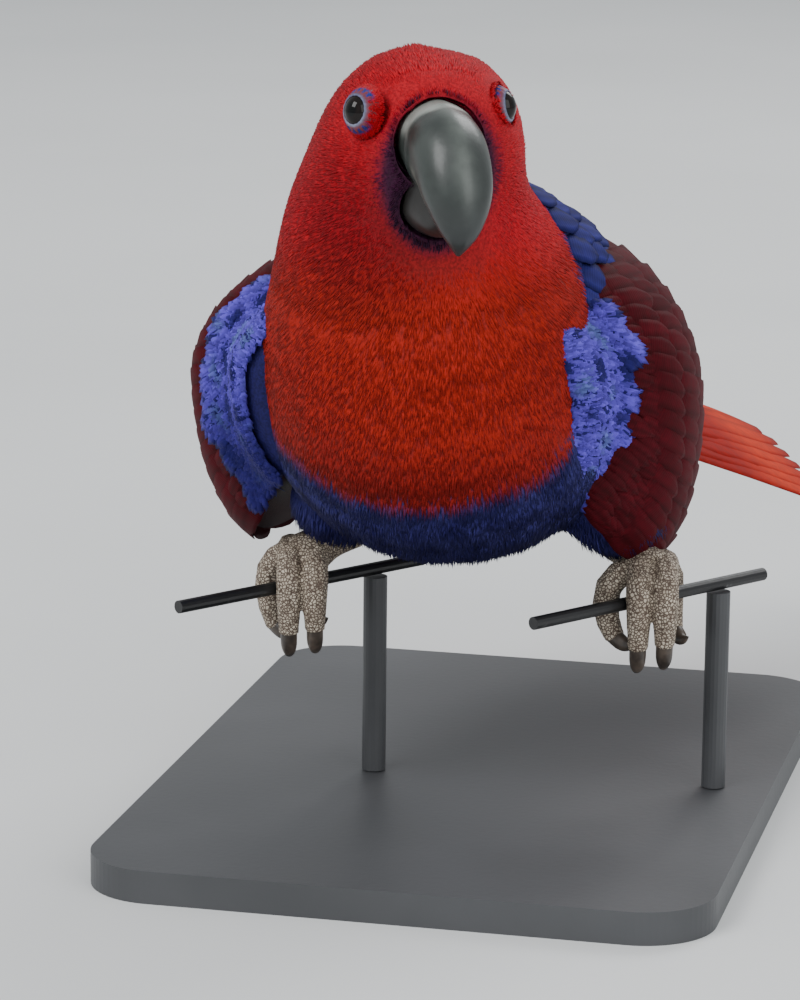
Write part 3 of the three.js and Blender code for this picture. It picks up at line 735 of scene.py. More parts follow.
class Vanes:
    """A set of firm feathers that becomes one object: each is a closed curved blade with a shaft."""

    def __init__(self):
        self.points, self.quads, self.colours, self.bake, self.vane = [], [], [], [], []
        self.count = 0
        self.made = 0

    def add(self, line, outs, width, outline, colour, edge, tilt=0.0, rows=10, columns=7, cell=12, puff=1.0,
            ragged=0.0, rng=None):
        """line and outs give the middle line and the outward direction at shares of the length."""
        t = np.linspace(0, 1, rows + 1) ** 0.9
        middle, out = line(t), unit(outs(t))
        ahead = unit(np.gradient(middle, axis=0))
        across = unit(np.cross(out, ahead))
        k = np.linspace(-1, 1, columns)
        half = np.interp(t, np.linspace(0, 1, len(outline)), outline) * width / 2
        notch = 1 + (rng.normal(0, ragged, (rows + 1, 2)) if rng is not None else np.zeros((rows + 1, 2)))
        scale = np.where(k[None] < 0, notch[:, :1], notch[:, 1:])
        offset = k[None] * half[:, None] * scale
        camber = (1 - k ** 2)[None] * half[:, None] * 0.13 * puff
        shaft = np.exp(-(k / 0.16) ** 2)[None] * 0.22 * puff * (1 - 0.6 * t)[:, None]
        height = camber + shaft + offset * tilt
        sweep = np.abs(k)[None] ** 1.6 * half[:, None] * 0.35 * (t[:, None] - 0.2)
        top = middle[:, None] + across[:, None] * offset[..., None] + out[:, None] * height[..., None]
        top = top - ahead[:, None] * sweep[..., None]
        under = top - out[:, None] * VANE_THICK
        n = (rows + 1) * columns
        index = np.arange(n).reshape(rows + 1, columns)
        a, b, c, d = index[:-1, :-1], index[:-1, 1:], index[1:, 1:], index[1:, :-1]
        quads = [np.stack([a, b, c, d], -1).reshape(-1, 4), np.stack([a, d, c, b], -1).reshape(-1, 4) + n]
        rim = np.concatenate([index[0], index[1:, -1], index[-1, -2::-1], index[-2:0:-1, 0]])
        following = np.roll(rim, -1)
        quads.append(np.stack([following, rim, rim + n, following + n], -1))
        base = self.count
        self.points += [top.reshape(-1, 3), under.reshape(-1, 3)]
        self.quads.append(np.concatenate(quads) + base)
        rim_share = np.maximum(np.abs(k)[None] ** 3, (t[:, None] ** 6))
        tones = colour(t)[:, None] * (1 - rim_share[..., None]) + np.asarray(edge) * rim_share[..., None]
        # Painted shade: each feather is darker towards its covered root.
        tones = tones * (0.78 + 0.3 * t)[:, None, None]
        tones = tones * (1 - 0.35 * np.exp(-(k / 0.12) ** 2))[None, :, None]
        # Painted shade: the underside is a darker copy of the top.
        self.colours += [tones.reshape(-1, 3), tones.reshape(-1, 3) * 0.7]
        column, row = self.made % cell, self.made // cell
        u = (column + 0.08 + 0.84 * (k[None] + 1) / 2 + 0 * t[:, None]) / cell
        v = (row + 0.08 + 0.84 * t[:, None] + 0 * k[None]) / cell
        grid = np.stack([u, v], -1).reshape(-1, 2)
        self.bake += [grid, grid]
        long = np.linalg.norm(middle[-1] - middle[0])
        own = np.stack([k[None] * half[:, None], t[:, None] * long + 0 * k[None]], -1)
        own = own.reshape(-1, 2) / 30.0
        self.vane += [own, own]
        self.count += 2 * n
        self.made += 1

    def build(self, name):
        join = np.concatenate
        return make_object(name, join(self.points), join(self.quads), join(self.colours),
                           join(self.bake) % 1.0, join(self.vane))


PRIMARY_SHAPE = [0.7, 0.95, 1, 1, 0.97, 0.9, 0.75, 0.5, 0.12]
RECTRIX_SHAPE = [0.6, 0.8, 0.92, 1, 1, 1, 0.97, 0.86, 0.3]
COVERT_SHAPE = [0.6, 0.9, 1, 1, 0.98, 0.9, 0.7, 0.14]
WING_TIERS = (
    {"count": 9, "root": (0.40, 0.44, 0.80), "tip": (1.0, 0.5, 0.76), "step": -0.03, "lift": (-2.6, -2.0),
     "fall": 0.55, "width": 15, "tilt": 0.03, "tone": "primary"},
    {"count": 10, "root": (0.40, 0.06, 0.62), "tip": (0.74, 0.10, 0.78), "step": -0.006, "lift": (-1.9, -0.9),
     "fall": 0, "width": 15, "tilt": 0.13, "tone": "maroon"},
    {"count": 13, "root": (0.26, 0.07, 0.86), "tip": (0.53, 0.10, 0.92), "step": -0.002, "lift": (-1.3, 0.5),
     "fall": 0, "width": 13, "tilt": 0.12, "tone": "maroon"},
    {"count": 15, "root": (0.17, 0.07, 0.9), "tip": (0.38, 0.09, 0.94), "step": -0.001, "lift": (-1.2, 1.1),
     "fall": 0, "width": 11, "tilt": 0.1, "tone": "maroon"},
    {"count": 18, "root": (0.11, 0.06, 0.92), "tip": (0.27, 0.08, 0.95), "step": 0, "lift": (-1.1, 1.5),
     "fall": 0, "width": 9, "tilt": 0.1, "tone": "maroon"},
    {"count": 20, "root": (0.065, 0.05, 0.93), "tip": (0.19, 0.06, 0.96), "step": 0, "lift": (-1.0, 1.8),
     "fall": 0, "width": 8, "tilt": 0.1, "tone": "maroon"},
)
SMALL_ROWS = 6  # rows of small scalloped feathers along the front edge
SMALL_FIRST, SMALL_STEP, SMALL_LENGTH = 0.105, 0.0215, 0.068


def violet_edge(side, v):
    """How far along the wing the ragged violet front reaches, at shares of the way round it."""
    reach = 0.09 - 0.05 * smooth(v, 0.4, 0.9) if side > 0 else 0.11 - 0.02 * smooth(v, 0.6, 0.9)
    return reach + 0.007 * np.sin(v * 21) + 0.006 * np.sin(v * 47 + 1)


def build_wing_front(side):
    """Small ragged violet feathers round the front edge of the wing, with dark tufts as painted shade in the
    gaps between them.
    """
    rng = np.random.default_rng(36 + side)
    u, v = rng.uniform(-0.060, 0.17, 7500), rng.uniform(0.09, 0.96, 7500)
    keep = u < violet_edge(side, v) - 0.02
    u, v = u[keep], v[keep]
    normals = wing_out(side, u, v)
    over = 0.3 + 2.2 * smooth(u, 0.02, 0.10)
    roots = wing_guide(side, u, v)
    ways = unit(wing_guide(side, u + 0.03, v + rng.normal(0.012, 0.012, len(v))) - roots)
    clump = wobble(roots, 4.2, 21 + side)
    bright = rng.uniform(0.45, 1.0, len(u))[:, None]
    colours = mix(np.array(VIOLET), np.array((0.13, 0.17, 0.52)), smooth(clump, 0.3, 0.9)) * bright
    # Painted shade: clumps, and about one tuft in ten, are painted deep indigo for the shadowed gaps.
    dark = np.maximum(smooth(-clump, 0.3, 0.6), rng.uniform(0, 1, len(u)) < 0.1)
    colours = mix(colours, np.array(INDIGO) * 1.5, dark)
    low = smooth(v, 0.5, 0.85) if side < 0 else 0.5 * smooth(v, 0.75, 0.95)
    colours = mix(colours, np.array(INDIGO) * 1.2, 0.9 * low)
    lengths = rng.uniform(4.6, 7.4, len(u))
    tufts(f"coat_wing_{SIDES[side]}", roots, normals, ways, lengths, rng.uniform(2.0, 3.2, len(u)),
          rng.uniform(0.3, 0.7, len(u)), colours, rng, shared(vane_finish), "maroon_feather", over)


def wing_colour(side, kind, u, v, rng):
    """A feather's colour by its place on the wing, and the colour of its rim."""
    edge = float(violet_edge(side, v))
    if kind == "primary":
        return np.array(NAVY) * 1.6 * rng.uniform(0.8, 1.3), (0.05, 0.012, 0.03)
    if v < 0.12 - 0.1 * max(u - 0.2, 0) and u < 0.5:
        tone = np.array(COLLAR) * rng.uniform(0.6, 1.1)
        # Painted shade: the collar feathers get rims at 0.4 of their colour, for the gaps between them.
        return tone, tone * 0.4
    if u < edge and 0.10 < v < 0.97:
        # Painted shade: the blue feathers get darker rims, for the gaps between them.
        return np.array(INDIGO) * 1.4, np.array(INDIGO)
    tone = np.array(MAROON) * rng.uniform(0.85, 1.2)
    return tone, tone * 0.9


def build_wing(side):
    rng = np.random.default_rng(31 if side > 0 else 32)
    vanes = Vanes()

    def lay(root, tip, lift, width, shape, tilt, kind, rows, columns, cell):
        uv = lambda t: (root[0] + (tip[0] - root[0]) * t, root[1] + (tip[1] - root[1]) * t)

        def line(t):
            u, v = uv(t)
            rise = lift[0] + (lift[1] - lift[0]) * np.minimum(1, t * 2.2)
            return wing_guide(side, u, v) + wing_out(side, u, v) * rise[:, None]

        tone, rim = wing_colour(side, kind, *uv(0.8), rng)
        vanes.add(line, lambda t: wing_out(side, *uv(t)), width, shape, plain(tone), rim,
                  side * tilt, rows, columns, cell, 1.0 if kind == "primary" else 0.4, 0.025, rng)

    for tier in WING_TIERS:
        shape = PRIMARY_SHAPE if tier["tone"] == "primary" else COVERT_SHAPE
        for i in range(tier["count"]):
            t = i / (tier["count"] - 1)
            root_v = tier["root"][1] + (tier["root"][2] - tier["root"][1]) * t
            tip_v = tier["tip"][1] + (tier["tip"][2] - tier["tip"][1]) * t
            lift = [h - tier["fall"] * i + rng.normal(0, 0.06) for h in tier["lift"]]
            tip_u = tier["tip"][0] + tier["step"] * i + rng.normal(0, 0.004)
            width = tier["width"] * rng.uniform(0.95, 1.06)
            lay((tier["root"][0], root_v), (tip_u, tip_v), lift, width, shape, tier["tilt"], tier["tone"],
                10, 7, 16)
    for row in range(SMALL_ROWS):
        start = SMALL_FIRST - SMALL_STEP * row - 0.045
        count = 34 - row
        for i in range(count):
            v = 0.04 + 0.92 * (i + 0.5 * (row % 2)) / count + rng.normal(0, 0.005)
            shift = rng.normal(0, 0.004)
            rise = 1.7 + 0.16 * row + rng.normal(0, 0.1)
            if start + shift + 0.5 * SMALL_LENGTH < violet_edge(side, v) and 0.10 < v < 0.96:
                continue
            lay((start + shift, v), (start + SMALL_LENGTH + shift, v + rng.normal(0.01, 0.006)), (-1.0, rise),
                rng.uniform(3.6, 4.8), COVERT_SHAPE, 0.05, "small", 5, 5, 20)
    name = SIDES[side]
    feathers = vanes.build(f"wing_{name}_feathers")
    finish_piece(feathers, shared(vane_finish), (f"wing_{name}",))
    build_wing_core(side)
    build_wing_front(side)


def build_wing_core(side):
    """The wing's own flesh under its feathers, which fills what shows between them."""
    rings = []
    for t in np.linspace(0, 1, 40):
        u = -0.066 + t * 0.68
        thick = along([9, 12, 12, 9, 4], t)
        v = np.linspace(0.04, 0.96, 40)
        outer = wing_guide(side, np.full(40, u), v, -1.3)
        inner = wing_guide(side, np.full(40, u), v[::-1], -1.3 - thick)
        rings.append(np.concatenate([outer, inner]))
    rings = np.array(rings)
    count = rings.shape[1]
    index = np.arange(rings.shape[0] * count).reshape(-1, count)
    nxt = np.roll(index, -1, axis=1)
    quads = np.stack([index[:-1], index[1:], nxt[1:], nxt[:-1]], -1).reshape(-1, 4)
    half = count // 2
    caps = []
    for ring, flip in ((index[0], False), (index[-1], True)):
        pairs = np.stack([ring[:half - 1], ring[1:half], ring[::-1][1:half], ring[::-1][:half - 1]], -1)
        caps.append(pairs[:, ::-1] if flip else pairs)
    if side > 0:
        quads, caps = quads[:, ::-1], [c[:, ::-1] for c in caps]
    points = rings.reshape(-1, 3)
    blue = (points[:, 1] < WING_FRONT + 0.1 * WING_LENGTH)[:, None]
    # Painted shade: the maroon core is half as bright as the feathers, for the shadow that shows between
    # them.
    colours = np.where(blue, np.array(INDIGO) * 1.3, np.array(MAROON) * 0.5)
    piece = make_object(f"wing_{SIDES[side]}_core", points, np.concatenate([quads] + caps), colours)
    finish_piece(piece, skin_finish(), (f"wing_{SIDES[side]}",))


# The tail
TAIL_ROOT = np.array([7.0, 84.0, 34.0])
TAIL_SWING, TAIL_DROP = math.radians(24), math.radians(14)
TAIL_ROLL, TAIL_FAN = math.radians(20), math.radians(13)
TAIL_LENGTH = 116
RECTRICES = 12


def tail_way(turn, drop=0.0):
    swing, fall = TAIL_SWING + turn, TAIL_DROP + drop
    return np.array([math.sin(swing) * math.cos(fall), math.cos(swing) * math.cos(fall), -math.sin(fall)])


def build_tail():
    rng = np.random.default_rng(41)
    vanes = Vanes()

    level = unit(tail_way(math.pi / 2) * np.array([1, 1, 0]))
    side = np.array(Matrix.Rotation(TAIL_ROLL, 3, Vector(tail_way(0))) @ Vector(level))
    up = unit(np.cross(side, tail_way(0)))

    def lay(turn, drop, start, length, lift, width, shape, tone, rows=12):
        root = TAIL_ROOT + side * (turn / TAIL_FAN) * 9
        way = unit(tail_way(0, drop) + side * math.tan(turn))
        line = lambda t: root + np.outer(start + length * t, way) + np.outer(lift - 5 * t * t, up)
        vanes.add(line, plain(up), width, shape, tone, np.array(TAIL_RED) * 0.8, 0.0, rows, 9, 8, ragged=0.02,
                  rng=rng)

    def quill(t):
        tip = smooth(t, 0.6, 0.8)
        body = mix(plain(MAROON)(t) * 1.6, TAIL_RED, smooth(t, 0.1, 0.5))
        return body * (1 - tip)[:, None] + np.outer(tip, TAIL_TIP)

    def covert(t):
        return mix(plain(TAIL_RED)(t), TAIL_TIP, smooth(t, 0.3, 0.9))

    for i in range(RECTRICES):
        place = (2 * i) / (RECTRICES - 1) - 1
        rank = round(abs(place) * (RECTRICES - 1) - 1) / 2
        level_up = 1.8 - 0.75 * rank - (0.37 if place > 0 else 0)
        lay(place * TAIL_FAN, 0, 2, TAIL_LENGTH - 2 - 9 * abs(place), level_up, 20, RECTRIX_SHAPE, quill)
    for over in (1, -1):
        for i in range(9):
            place = (2 * i) / 8 - 1
            length = (62 if over > 0 else 58) - 8 * abs(place) + rng.normal(0, 2)
            lay(place * TAIL_FAN * 0.85, math.radians(3.2 if over > 0 else -2.6), -3, length,
                (6 if over > 0 else -5.5) + 0.3 * (i % 2), 15, COVERT_SHAPE, covert, 9)
    for i in range(14):
        place = (2 * i) / 13 - 1
        length = 34 - 4 * abs(place) + rng.normal(0, 1.5)
        lay(place * TAIL_FAN * 0.9, math.radians(5), -12, length, 7.4 + 0.3 * (i % 2), 9, COVERT_SHAPE,
            covert, 6)
    finish_piece(vanes.build("tail_feathers"), shared(vane_finish), ("tail",))


# Bill, eyes, feet
def loft(name, rings, colours=None):
    """A closed skin through rings of points, each end closed by a fan to its middle."""
    rings = np.asarray(rings)
    rows, count = rings.shape[:2]
    index = np.arange(rows * count).reshape(rows, count)
    nxt = np.roll(index, -1, axis=1)
    quads = np.stack([index[:-1], nxt[:-1], nxt[1:], index[1:]], -1).reshape(-1, 4)
    points = np.concatenate([rings.reshape(-1, 3), rings[0].mean(0)[None], rings[-1].mean(0)[None]])
    first, last = rows * count, rows * count + 1
    fans = np.concatenate([np.stack([nxt[0], index[0], np.full(count, first)], -1),
                           np.stack([index[-1], nxt[-1], np.full(count, last)], -1)])
    if colours is not None:
        ends = colours[0].mean(0)[None], colours[-1].mean(0)[None]
        colours = np.concatenate([colours.reshape(-1, 3), *ends])
    piece = make_object(name, points, [quads, fans], colours)
    deselect()
    piece.select_set(True)
    bpy.context.view_layer.objects.active = piece
    bpy.ops.object.mode_set(mode="EDIT")
    bpy.ops.mesh.select_all(action="SELECT")
    bpy.ops.mesh.normals_make_consistent(inside=False)
    bpy.ops.object.mode_set(mode="OBJECT")
    return piece


def curve_through(points, count):
    """Evenly stepped points on a smooth curve through a few places."""
    points = np.asarray(points, float)
    t = np.linspace(0, 1, count)
    return np.stack([along(points[:, i], t) for i in range(3)], 1)


BILL_HALF = 8.8


def build_bill():
    horn = horn_finish()
    rows, count = 72, 72
    path = [(0, 15, 5), (0, 22, 5.5), (0, 30, 3.5), (0, 36, -4), (0, 38, -11.5), (0, 37, -17.5)]
    line = curve_through(path, rows)
    t = np.linspace(0, 1, rows)
    wide = along(np.array([0.92, 0.96, 0.99, 0.9, 0.56, 0.06]) * BILL_HALF, t)
    tall = along([8.6, 9, 8.6, 7, 4.4, 0.6], t)
    ahead = unit(np.gradient(line, axis=0))
    angle = np.linspace(0, 2 * np.pi, count, endpoint=False)
    c, s = np.cos(angle), np.sin(angle)
    ridge = np.exp(-((angle - math.pi / 2) / 0.22) ** 2)
    rings, tones = [], []
    for i in range(rows):
        up = np.array([0, -ahead[i][2], ahead[i][1]])
        cere = 1 + 0.035 * float(1 - smooth(t[i], 0.24, 0.27))
        under = np.where(s < 0, 0.86 + 0.42 * math.exp(-((t[i] - 0.34) / 0.2) ** 2), 1.0)
        flat_side = np.sign(c) * np.abs(c) ** 0.88
        local = (line[i] + np.outer(flat_side * wide[i] * cere, (1, 0, 0))
                 + np.outer(s * tall[i] * (1 + 0.05 * ridge) * under * cere, up))
        rings.append(np.array([on_head(*p) for p in local]))
        band = np.maximum(smooth(t[i] + 0.02 * np.sin(angle * 3), 0.25, 0.28), 1 - smooth(s, 0.1, 0.5))
        base = mix((0.22, 0.23, 0.215), (0.032, 0.039, 0.036), band)
        tone = mix(base, (0.020, 0.024, 0.025), smooth(t[i], 0.5, 0.95))
        # Painted highlight: a pale streak along the culmen ridge, fading towards the tip.
        tone = mix(tone, (0.13, 0.145, 0.135), 0.55 * ridge * float(1 - smooth(t[i], 0.5, 0.8)))
        edge = np.exp(-((s + 0.35) / 0.16) ** 2) * float(smooth(t[i], 0.3, 0.45))
        tones.append(mix(tone, (0.17, 0.165, 0.14), 0.5 * edge))
    finish_piece(loft("bill_upper_horn", rings, np.array(tones)), horn, ("bill_upper",))
    build_nostrils(horn)

    rows = 36
    line = curve_through([(0, 13, -7), (0, 20, -8.5), (0, 27, -9.5), (0, 32.5, -9)], rows)
    t = np.linspace(0, 1, rows)
    wide, tall = along([7.4, 8.0, 6.2, 2.6], t), along([6.6, 7, 5.6, 2.0], t)
    rings, tones = [], []
    for i in range(rows):
        high = s * tall[i] * np.where(s > 0, 1.7, 1.0)
        local = line[i] + np.outer(c * wide[i], (1, 0, 0)) + np.outer(high, (0, 0.1, 1))
        rings.append(np.array([on_head(*p) for p in local]))
        # Painted shade: the lower bill is painted about three times darker than the upper and darkest at its
        # root, under the upper bill.
        tones.append(np.outer(np.ones(count), (0.011, 0.010, 0.009)) * (0.8 + 0.6 * t[i]))
    finish_piece(loft("bill_lower_horn", rings, np.array(tones)), horn, ("bill_lower",))


def build_nostrils(horn):
    """Two small round nostrils with a raised rim, in the pale band across the root of the bill."""
    turns = np.linspace(0, 2 * np.pi, 28, endpoint=False)
    for side in SIDES:
        centre = on_head(side * 3.4, 19.6, 12.6)
        out = unit(on_head(side * 1.6, 6.5, 10.0) - HEAD_AT)
        first = unit(np.cross(out, (0, 0, 1.0)))
        second = np.cross(out, first)
        # Painted shade: the inner rings, down in the hole, are painted near black.
        profile = ((1.55, -0.8, 0.24), (1.5, 0.1, 0.30), (1.2, 0.42, 0.30), (0.85, 0.3, 0.16),
                   (0.62, -0.25, 0.01), (0.2, -0.4, 0.004))
        rings = [[centre + out * up + (first * math.cos(a) + second * math.sin(a)) * radius for a in turns]
                 for radius, up, _ in profile]
        tones = np.array([[[tone] * 3] * len(turns) for _, _, tone in profile])
        finish_piece(loft(f"nostril_{SIDES[side]}", rings, tones), horn)


def eye_frame(side):
    centre = on_head(side * EYE_SIDE, EYE_FRONT, EYE_UP)
    out = unit(on_head(side * 1.25 * EYE_SIDE, EYE_FRONT * 1.1, EYE_UP) - on_head(0, 0, EYE_UP * 0.6))
    up = unit(np.array([0, 0, 1.0]) - out * out[2])
    return centre, out, up, np.cross(up, out)


# The lids' profile: distance from the eye's middle line, height out of its centre, and how pale it is
LID_PROFILE = ((3.15, 2.45, 0.05), (3.2, 2.9, 0.5), (3.35, 3.0, 1.0), (3.6, 2.85, 0.9), (4.0, 2.4, 0.2),
               (4.7, 1.3, 0.0), (5.6, -0.4, 0.0), (5.4, -1.6, 0.0), (4.2, 0.2, 0.0))

EYE_NARROW = 0.84  # the opening is an upright oval


def build_eye(side, radius):
    centre, out, up, across = eye_frame(side)
    rows, count = 40, 64
    polar = np.linspace(0.02, math.pi - 0.02, rows)
    turn = np.linspace(0, 2 * np.pi, count, endpoint=False)
    ways = [math.cos(b) * up + EYE_NARROW * math.sin(b) * across for b in turn]
    rings = np.array([[centre + radius * (math.cos(a) * out + math.sin(a) * way) for way in ways]
                      for a in polar])
    iris, outer = (np.outer(smooth(polar, *edges), np.ones(count)) for edges in ((0.36, 0.42), (0.72, 0.8)))
    tone = mix(mix((0.001, 0.001, 0.001), (0.006, 0.003, 0.0025), iris), (0.002, 0.002, 0.002), outer)
    name = SIDES[side]
    finish_piece(loft(f"eye_{name}_ball", rings, tone), eye_finish(), (f"eye_{name}",))

    rng = np.random.default_rng(51)
    rings, tones = [], []
    for b in turn:
        reach = math.cos(b) * up + math.sin(b) * across * EYE_NARROW
        crease = 1 + 0.015 * math.sin(b * 17)
        rings.append([centre + reach * far * crease + out * height for far, height, _ in LID_PROFILE])
        below = 0.5 - 0.5 * math.cos(b)
        pale = mix((0.08, 0.10, 0.19), (0.17, 0.20, 0.29), below)
        tones.append([mix((0.16, 0.004, 0.012), pale, share) * rng.uniform(0.9, 1.1)
                      for _, _, share in LID_PROFILE])
    rings, tones = np.array(rings), np.array(tones)
    index = np.arange(rings.shape[0] * rings.shape[1]).reshape(rings.shape[:2])
    right, ahead = np.roll(index, -1, axis=1), np.roll(index, -1, axis=0)
    quads = np.stack([index, right, np.roll(right, -1, axis=0), ahead], -1).reshape(-1, 4)
    if side > 0:
        quads = quads[:, ::-1]
    lid = make_object(f"eye_{name}_lids", rings.reshape(-1, 3), quads, tones.reshape(-1, 3))
    finish_piece(lid, lid_finish())

    ring_rng = np.random.default_rng(52)
    count = 2200
    b, far = ring_rng.uniform(0, 2 * np.pi, count), ring_rng.uniform(3.8, 6.0, count)
    reach = np.cos(b)[:, None] * up + np.sin(b)[:, None] * across * EYE_NARROW
    height = np.interp(far, [3.6, 4.0, 4.7, 5.6, 6.2], [2.95, 2.5, 1.4, -0.2, -1.2])
    roots = centre + reach * far[:, None] + np.outer(height, out)
    blue = smooth(np.abs(np.cos(b)), 0.5, 0.75) * (1 - smooth(far, 4.6, 5.1))
    colours = mix(CRIMSON, (0.03, 0.045, 0.28), blue)
    ways = unit(unit(reach) * 0.62 - out * 0.78)
    normals = unit(unit(reach) * 0.78 + out * 0.62)
    measures = [np.full(count, size) for size in (1.1, 0.34, 0.12)]
    tufts(f"eye_{name}_rim", roots, normals, ways, *measures, colours, ring_rng, shared(coat_finish),
          "crimson_feather")


def build_feet():
    for side, name in SIDES.items():
        piece = copy_nodes(f"foot_{name}_skin", (f"foot_{name}",))
        apply_modifier(piece, "REMESH", mode="VOXEL", voxel_size=0.0004)
        apply_modifier(piece, "SMOOTH", factor=0.5, iterations=5)
        piece.data.polygons.foreach_set("use_smooth", np.ones(len(piece.data.polygons), bool))
        finish_piece(piece, foot_finish(), (f"foot_{name}",))
        build_claws(side)


# Claws: the toes' places are the same as in the solids
WIRE_TURN = math.radians(54)
WIRE_WAY = np.array([math.cos(WIRE_TURN), math.sin(WIRE_TURN), 0.0])
WIRE_FRONT = np.array([math.sin(WIRE_TURN), -math.cos(WIRE_TURN), 0.0])
TOE_TURN = math.radians(12)
TOE_AHEAD = np.array([math.sin(TOE_TURN), -math.cos(TOE_TURN), 0.0])
TOE_ASIDE = np.array([math.cos(TOE_TURN), math.sin(TOE_TURN), 0.0])
FRONT_TOES = ((-3.2, 8.6, 15.5), (3.2, 9.2, 14.5))
HIND_TOES = {1: ((12.5, 12.5), (-9.5, 11.0)), -1: ((-6.5, 12.5), (6.5, 11.0))}
TOE_BACK = -5.5  # how far behind the wire the hind toes run


def build_claws(side):
    """Curved claws, drawn over the last part of each toe."""
    paths = []
    for aside, out, fall in FRONT_TOES:
        root = FEET[side] + TOE_ASIDE * aside
        steps = ((out * 0.92, 4.2 - fall), (out * 0.78, -fall), (out * 0.5, -2.8 - fall),
                 (out * 0.22, -3.9 - fall))
        paths.append([root + TOE_AHEAD * ahead + np.array([0, 0, up]) for ahead, up in steps])
    for place, fall in HIND_TOES[side]:
        steps = ((0.94, TOE_BACK * 0.8, 1.2 - fall), (0.88, TOE_BACK * 0.2, -0.7 - fall),
                 (0.82, 1.2, -0.9 - fall), (0.8, 3.3, 0.2 - fall))
        paths.append([FEET[side] + WIRE_WAY * place * share + WIRE_FRONT * ahead + np.array([0, 0, up])
                      for share, ahead, up in steps])
    claws = []
    turn = np.linspace(0, 2 * np.pi, 24, endpoint=False)
    for path in paths:
        line = curve_through(path, 20)
        ahead = unit(np.gradient(line, axis=0))
        across = unit(np.cross(ahead, WIRE_FRONT + np.array([0, 0, 0.6])))
        up = np.cross(across, ahead)
        radius = along([1.95, 1.85, 1.15, 0.12], np.linspace(0, 1, 20))
        rings = [[line[i] + radius[i] * (math.cos(a) * across[i] + 1.1 * math.sin(a) * up[i]) for a in turn]
                 for i in range(20)]
        claws.append(loft("claw", rings))
    deselect()
    for claw in claws:
        claw.select_set(True)
    bpy.context.view_layer.objects.active = claws[0]
    bpy.ops.object.join()
    claws[0].name = f"claws_{SIDES[side]}"
    finish_piece(claws[0], claw_finish(), (f"foot_{SIDES[side]}",))


# Stage
def build_perches():
    wire = wire_finish()
    paint = stand_finish()
    for name in ("perch_left", "perch_right"):
        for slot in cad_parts[name].material_slots:
            slot.material = wire
    for name in ("stand_rod_left", "stand_rod_right", "stand_base"):
        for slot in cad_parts[name].material_slots:
            slot.material = paint


FOCAL = 4140.0  # picture pixels, from the meeting points of the parallel wires
CAMERA_AZIMUTH = math.radians(13.0)
CAMERA_ELEVATION = math.radians(13.0)
CAMERA_ROLL = math.radians(0.6)
CAMERA_DISTANCE = 1010.0
BIRD_IN_PICTURE = (446.0, 588.0)


def build_stage():
    deselect()
    bpy.ops.mesh.primitive_plane_add(size=8.0, location=(0, 0, 0))
    floor = bpy.context.object
    floor.name = "floor"
    floor.data.materials.append(floor_finish())
    bpy.ops.object.transform_apply(location=True, rotation=True, scale=True)
    right = np.array([math.cos(CAMERA_AZIMUTH), math.sin(CAMERA_AZIMUTH), 0])
    level = np.array([-math.sin(CAMERA_AZIMUTH), math.cos(CAMERA_AZIMUTH), 0])
    rise = np.array([0, 0, 1.0])
    forward = level * math.cos(CAMERA_ELEVATION) - rise * math.sin(CAMERA_ELEVATION)
    up = level * math.sin(CAMERA_ELEVATION) + rise * math.cos(CAMERA_ELEVATION)
    across = math.cos(CAMERA_ROLL) * right + math.sin(CAMERA_ROLL) * up
    upward = -math.sin(CAMERA_ROLL) * right + math.cos(CAMERA_ROLL) * up
    dx = (BIRD_IN_PICTURE[0] - 400) / FOCAL * CAMERA_DISTANCE
    dy = -(BIRD_IN_PICTURE[1] - 500) / FOCAL * CAMERA_DISTANCE
    place = (BIRD - (across * dx + upward * dy + forward * CAMERA_DISTANCE)) * MM
    data = bpy.data.cameras.new("camera")
    data.sensor_width = 36.0
    data.lens = FOCAL / 1000.0 * 36.0
    data.clip_start = 0.05
    camera = bpy.data.objects.new("camera", data)
    bpy.context.scene.collection.objects.link(camera)
    matrix = np.eye(4)
    matrix[:3, 0], matrix[:3, 1], matrix[:3, 2], matrix[:3, 3] = across, upward, -forward, place
    camera.matrix_world = Matrix(matrix.tolist())
    bpy.context.scene.camera = camera
    world = bpy.data.worlds.new("soft_room")
    world.use_nodes = True
    world.node_tree.nodes["Background"].inputs["Color"].default_value = (0.86, 0.89, 0.92, 1)
    world.node_tree.nodes["Background"].inputs["Strength"].default_value = 0.75
    bpy.context.scene.world = world
    for name, where, size, power in (
            ("key", (-0.75, -1.1, 1.35), 0.9, 22.0), ("fill", (1.2, -0.9, 0.7), 1.2, 9.0),
            ("rim", (0.5, 1.3, 1.3), 0.9, 14.0)):
        lamp = bpy.data.lights.new(name, "AREA")
        lamp.size = size
        lamp.energy = power
        light = bpy.data.objects.new(name, lamp)
        bpy.context.scene.collection.objects.link(light)
        light.location = where
        aim = Vector((0, 0, 0.12)) - Vector(where)
        light.rotation_euler = aim.to_track_quat("-Z", "Y").to_euler()


# The add-on's settings, operators and panel
class ParrotSettings(bpy.types.PropertyGroup):
    """Sizes that a user would change."""

    coat_depth: bpy.props.FloatProperty(
        name="Coat depth", description="How far the skin lies under the coat's surface", default=0.0016,
        subtype="DISTANCE", unit="LENGTH")
    coat_share: bpy.props.FloatProperty(
        name="Coat density", description="Share of the full number of tufts",
        default=1.0, min=0.05, max=1.5, subtype="FACTOR")
    eye_radius: bpy.props.FloatProperty(
        name="Eye radius", description="Radius of the eyeball", default=0.0043,
        subtype="DISTANCE", unit="LENGTH")


class PARROT_OT_body(bpy.types.Operator):
    """Make the skin and the soft coat over it"""

    bl_idname = "parrot.body"
    bl_label = "Skin and coat"

    def execute(self, context):
        settings = context.scene.parrot
        skin = build_skin(settings.coat_depth)
        build_coat(skin, settings.coat_share)
        build_mantle(skin)
        return {"FINISHED"}


class PARROT_OT_wings(bpy.types.Operator):
    """Make both folded wings, feather by feather"""

    bl_idname = "parrot.wings"
    bl_label = "Wings"

    def execute(self, context):
        for side in SIDES:
            build_wing(side)
        return {"FINISHED"}


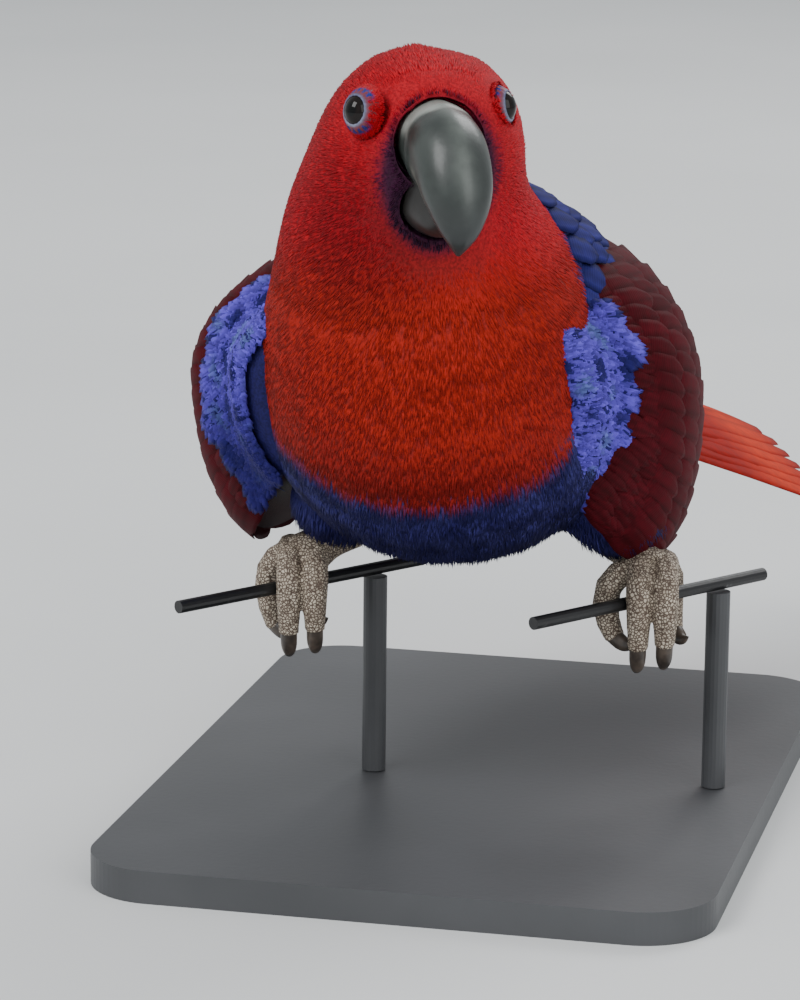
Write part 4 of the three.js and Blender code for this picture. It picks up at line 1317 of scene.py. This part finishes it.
class PARROT_OT_tail(bpy.types.Operator):
    """Make the tail and its coverts"""

    bl_idname = "parrot.tail"
    bl_label = "Tail"

    def execute(self, context):
        build_tail()
        return {"FINISHED"}


class PARROT_OT_face(bpy.types.Operator):
    """Make the bill and both eyes"""

    bl_idname = "parrot.face"
    bl_label = "Bill and eyes"

    def execute(self, context):
        build_bill()
        for side in SIDES:
            build_eye(side, context.scene.parrot.eye_radius / MM)
        return {"FINISHED"}


class PARROT_OT_feet(bpy.types.Operator):
    """Make the scaled feet and their claws"""

    bl_idname = "parrot.feet"
    bl_label = "Feet"

    def execute(self, context):
        build_feet()
        return {"FINISHED"}


class PARROT_OT_stand(bpy.types.Operator):
    """Finish the wires and the stand"""

    bl_idname = "parrot.stand"
    bl_label = "Wires and stand"

    def execute(self, context):
        build_perches()
        return {"FINISHED"}


class PARROT_OT_stage(bpy.types.Operator):
    """Make the floor, the lights and the camera"""

    bl_idname = "parrot.stage"
    bl_label = "Stage"

    def execute(self, context):
        build_stage()
        return {"FINISHED"}


class PARROT_PT_panel(bpy.types.Panel):
    """Lists the parrot's settings and its building steps"""

    bl_idname = "PARROT_PT_panel"
    bl_label = "Parrot"
    bl_space_type = "VIEW_3D"
    bl_region_type = "UI"
    bl_category = "Parrot"

    def draw(self, context):
        for key in ParrotSettings.__annotations__:
            self.layout.prop(context.scene.parrot, key)
        for step in STEPS:
            self.layout.operator(step.bl_idname)


STEPS = (PARROT_OT_stage, PARROT_OT_stand, PARROT_OT_face, PARROT_OT_body, PARROT_OT_wings, PARROT_OT_tail,
         PARROT_OT_feet)
CLASSES = (ParrotSettings, *STEPS, PARROT_PT_panel)


def register():
    for kind in CLASSES:
        bpy.utils.register_class(kind)
    bpy.types.Scene.parrot = bpy.props.PointerProperty(type=ParrotSettings)


def unregister():
    del bpy.types.Scene.parrot
    for kind in reversed(CLASSES):
        bpy.utils.unregister_class(kind)


def main():
    register()
    for step in STEPS:
        group, name = step.bl_idname.split(".")
        getattr(getattr(bpy.ops, group), name)()


if __name__ == "__main__":
    main()
